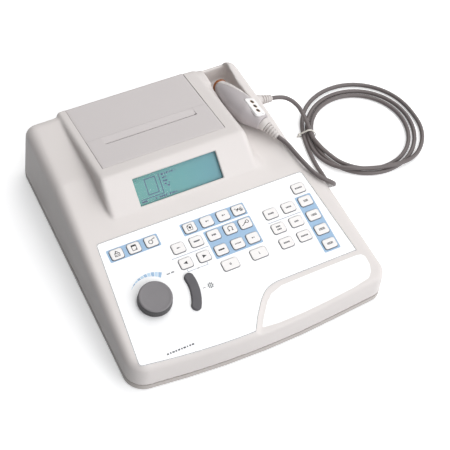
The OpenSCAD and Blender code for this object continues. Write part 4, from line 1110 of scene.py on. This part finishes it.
# ---------------------------------------------------------------- probe
STATIONS = [(108.3, 151, 83.2, 9.4, 9.4), (108.8, 136, 87.4, 13.2, 12.0), (109.8, 118, 91, 16.0, 14.2), (111.6, 100, 93.6, 17.6, 15.2),
            (115.2, 85, 95.4, 17.2, 15.0), (120, 72, 95.4, 13.6, 12.4), (123.6, 62.6, 94.8, 10.6, 10.0)]


def probe_loft(shrink, name):
    """The probe's body as one smooth closed shape, drawn in by shrink."""
    axis = catmull([(s[0], s[1], s[2]) for s in STATIONS], 10)
    sizes = catmull([(s[3], s[4], 0) for s in STATIONS], 10)
    n, rings = 72, []
    for i, p in enumerate(axis):
        t = (axis[min(i + 1, len(axis) - 1)] - axis[max(i - 1, 0)]).normalized()
        side = t.cross(Vector((0, 0, 1))).normalized()
        up = side.cross(t)
        w, h = sizes[i][0] - shrink, sizes[i][1] - shrink
        ring = []
        for k in range(n):
            a = 2 * math.pi * k / n
            c, s = math.cos(a), math.sin(a)
            e = 2 / 2.15
            ring.append(tuple(p + side * (w * math.copysign(abs(c) ** e, c)) + up * (h * math.copysign(abs(s) ** e, s))))
        rings.append(ring)
    # rounded ends
    for end, way in ((0, -1), (-1, 1)):
        c = Vector(axis[end])
        t = (axis[end] - axis[1 if end == 0 else -2]).normalized()
        ring0 = [Vector(q) for q in rings[end]]
        extra = [[tuple(c + (q - c) * f + t * d) for q in ring0] for f, d in ((0.965, 0.45), (0.9, 0.75), (0.8, 0.9))]
        rings = extra[::-1] + rings if end == 0 else rings + extra
    b = Build()
    b.loft(rings)
    return b.object(name, smooth=0)


def seam_block(sign, gap):
    b = Build()
    q = move(114.2, 124.4, 90) @ rotz(21.8)
    b.box((gap if sign > 0 else -120, -150, -80), (120 if sign > 0 else -gap, 150, 80), at=q)
    return b.object("half", smooth=0)


LAMPS = move(121.6, 81.5, 107.4) @ rotz(3) @ roty(24)
# the light half is the right side and the grey half the left side, which lies in shade; the grey half's colour is
# partly its own plastic and partly painted shade
for sign, name, mat, slot in ((1, "probe_light_half", "probe_light", "probe_light"), (-1, "probe_grey_half_and_shade", "probe_dark", "probe_dark")):
    half = probe_loft(0, name)
    combine(half, seam_block(sign, 0.25), "INTERSECT")
    c = Build()
    c.prism(rr(17.5, 33.5, 4.95, 8), -3.2, 12, at=LAMPS)
    combine(half, c.object("lamp_hole", smooth=0))
    half.data.materials.clear()
    half.data.materials.append(M[mat])
    bv = half.modifiers.new("edge", "BEVEL")
    bv.width, bv.segments, bv.limit_method, bv.angle_limit = 0.00035, 2, "ANGLE", math.radians(55)
    settle(half)
    shade(half, 40)
    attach(half, "probe")
    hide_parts("probe_cover" if sign > 0 else "probe_shell")
core = probe_loft(0.75, "probe_core")
c = Build()
c.prism(rr(18, 34, 5, 8), -3.4, 12, at=LAMPS)
combine(core, c.object("lamp_hole", smooth=0))
core.data.materials.clear()
core.data.materials.append(M["frame"])
shade(core, 40)
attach(core, "probe")

# lamp panel, slightly crowned, with three dark lenses sunk in it
b = Build()
rings = []
for off, z in ((0, -2.6), (0, -0.15), (0.12, 0.2), (0.4, 0.45), (0.9, 0.58), (1.8, 0.62), (3.2, 0.64)):
    rings.append([(p[0], p[1], z) for p in rr(17 - 2 * off, 33 - 2 * off, max(4.7 - off, 1), 10)])
b.loft(rings, at=LAMPS)
for i in (-1, 0, 1):
    q = LAMPS @ move(0.6 * i, 0.5 + 8.6 * i, 0)
    b.lathe([(0, 0.3), (2.6, 0.3), (2.6, 0.66), (2.25, 0.78), (0, 0.79)], 32, mat=1, at=q)
    b.lathe([(2.6, 0.3), (3.15, 0.3), (3.15, 0.62), (2.95, 0.7), (2.6, 0.7)], 32, mat=3, at=q)
stroke(b, [(1.4, -13.0), (4.4, -15.6)], 0.45, 0.3, 0.68, 2, LAMPS)
panel = b.object("probe_lamp_panel", [M["label"], M["led"], M["ink_soft"], M["lens_rim"]], 35)
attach(panel, "probe")
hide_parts("probe_panel")

# nose ring and tip socket
b = Build()
NOSE = move(108.3, 151.6, 83.1) @ rotx(-106)
b.lathe([(0, 0.02), (9.3, 0.02), (9.9, 0.35), (10.2, 0.9), (10.2, 1.6), (10.0, 1.8), (10.0, 2.2), (10.1, 2.4), (10.05, 3.2), (9.7, 3.75), (9.1, 3.96), (5.6, 3.98), (5.3, 4.3), (3.75, 9.4), (3.5, 9.8), (3.1, 9.88), (1.9, 9.88), (1.55, 9.6), (1.5, 9.0), (1.5, 5.2), (0, 5.1)], 72, at=NOSE)
nose = b.object("probe_nose_ring", [M["nose"]], 35)
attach(nose, "probe")
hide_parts("probe_nose")

# boot with five ribs
b = Build()
BOOT = move(124, 61.9, 94.8) @ rotz(21) @ rotx(102)
prof = [(0, -0.6), (9.2, -0.6), (9.4, 0), (9.3, 1.2), (8.9, 3.4), (8.5, 5.2), (8.1, 6.3), (7.4, 6.85), (5.2, 7.0), (4.6, 7.2)]
for i in range(5):
    z, ro, ri = 6.9 + 4 * i, 7.4 - 0.6 * i, 4.6 - 0.15 * i
    prof += [(ri, z + 0.75), (ro - 0.35, z + 0.85), (ro, z + 1.2), (ro, z + 2.55), (ro - 0.35, z + 2.9), (ri, z + 3.05)]
prof += [(4.0, 26.4), (3.6, 26.9), (0, 26.95)]
b.lathe(prof, 56, at=BOOT)
boot = b.object("probe_boot", [M["probe_light"]], 40)
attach(boot, "probe")
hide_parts("probe_strain_relief")

# ---------------------------------------------------------------- the rest wear the CAD shapes
for node, mats, width, where in (
        ("base_tray", ["tray"], 1.5, "case"), ("rubber_feet", ["rubber"], 0.5, "black_plastic"), ("case_screws", ["steel"], 0.15, "metal"), ("keypad_board", ["pcb"], 0.1, "board"),
        ("lcd_window", ["window"], 0, "window"), ("printer_frame", ["frame"], 0.4, "black_plastic"), ("print_head", ["steel"], 0.2, "metal"), ("platen_roller", ["rubber"], 0.15, "roller"),
        ("drive_gear", ["nylon"], 0.1, "gear"), ("feed_motor", ["motor"], 0.3, "metal"), ("paper_roll", ["paper"], 0.3, "paper"), ("main_board", ["pcb"], 0.1, "board"),
        ("air_pump", ["pump"], 0.5, "pump"), ("power_inlet", ["black"], 0.3, "black_plastic"), ("power_switch", ["black"], 0.3, "black_plastic")):
    ob = NODES[node]
    ob.data.materials.clear()
    for x in mats:
        ob.data.materials.append(M[x])
    if width:
        bv = ob.modifiers.new("edge", "BEVEL")
        bv.width, bv.segments, bv.limit_method, bv.angle_limit = width * MM, 2, "ANGLE", math.radians(40)
        bv.use_clamp_overlap = True


# ---------------------------------------------------------------- stage: floor and light
fb = Build()
fb.box((-6000, -6000, -12), (6000, 6000, -0.02))
floor_white = shader("floor_white", (0.99, 0.99, 0.99), 0.9, vary=0.0, rough_vary=0.02)
for node in floor_white.node_tree.nodes:
    if node.type == "BSDF_PRINCIPLED":
        node.inputs["Emission Color"].default_value = (1, 1, 1, 1)
        node.inputs["Emission Strength"].default_value = 0.28
floor = fb.object("floor", [floor_white], 0)
floor.visible_diffuse = False


def area(name, at, to, size, power, color=(1, 1, 1)):
    ld = bpy.data.lights.new(name, "AREA")
    ld.shape, ld.size, ld.size_y = "RECTANGLE", size[0], size[1]
    ld.energy, ld.color = power, color
    ob = bpy.data.objects.new(name, ld)
    ob.location = at
    ob.rotation_mode = "QUATERNION"
    ob.rotation_quaternion = (Vector(to) - Vector(at)).to_track_quat("-Z", "Y")
    scene.collection.objects.link(ob)
    return ob


area("key_light", (1.0, 0.75, 1.9), (0.02, 0.0, 0.04), (2.0, 2.0), 18.5, (1.0, 0.99, 0.975))
area("front_fill", (0.35, -1.9, 1.35), (0.0, -0.05, 0.04), (1.8, 1.1), 15, (0.985, 0.99, 1.0))
area("top_soft", (0.1, 0.0, 2.4), (0.05, 0.0, 0.0), (1.6, 1.6), 9)
world = bpy.data.worlds.new("studio")
world.use_nodes = True
wn = world.node_tree
tc = wn.nodes.new("ShaderNodeTexCoord")
sep = wn.nodes.new("ShaderNodeSeparateXYZ")
side = wn.nodes.new("ShaderNodeMapRange")
side.inputs["From Min"].default_value, side.inputs["From Max"].default_value = -0.7, 0.5
side.inputs["To Min"].default_value, side.inputs["To Max"].default_value = 0.1, 0.62
lift = wn.nodes.new("ShaderNodeMapRange")
lift.inputs["From Min"].default_value, lift.inputs["From Max"].default_value = -0.55, 0.35
lift.inputs["To Min"].default_value, lift.inputs["To Max"].default_value = 0.75, 1.0
ahead = wn.nodes.new("ShaderNodeMapRange")
ahead.inputs["From Min"].default_value, ahead.inputs["From Max"].default_value = -0.7, 0.2
ahead.inputs["To Min"].default_value, ahead.inputs["To Max"].default_value = 2.5, 0.8
both = wn.nodes.new("ShaderNodeMath")
both.operation = "MULTIPLY"
all3 = wn.nodes.new("ShaderNodeMath")
all3.operation = "MULTIPLY"
wn.links.new(tc.outputs["Generated"], sep.inputs[0])
wn.links.new(sep.outputs["X"], side.inputs["Value"])
wn.links.new(sep.outputs["Z"], lift.inputs["Value"])
wn.links.new(side.outputs[0], both.inputs[0])
wn.links.new(lift.outputs[0], both.inputs[1])
wn.links.new(sep.outputs["Y"], ahead.inputs["Value"])
wn.links.new(both.outputs[0], all3.inputs[0])
wn.links.new(ahead.outputs[0], all3.inputs[1])
wn.links.new(all3.outputs[0], wn.nodes["Background"].inputs["Strength"])
wn.nodes["Background"].inputs["Color"].default_value = (0.97, 0.98, 1.0, 1)
scene.world = world
scene.view_settings.view_transform = "Standard"
scene.view_settings.look = "None"
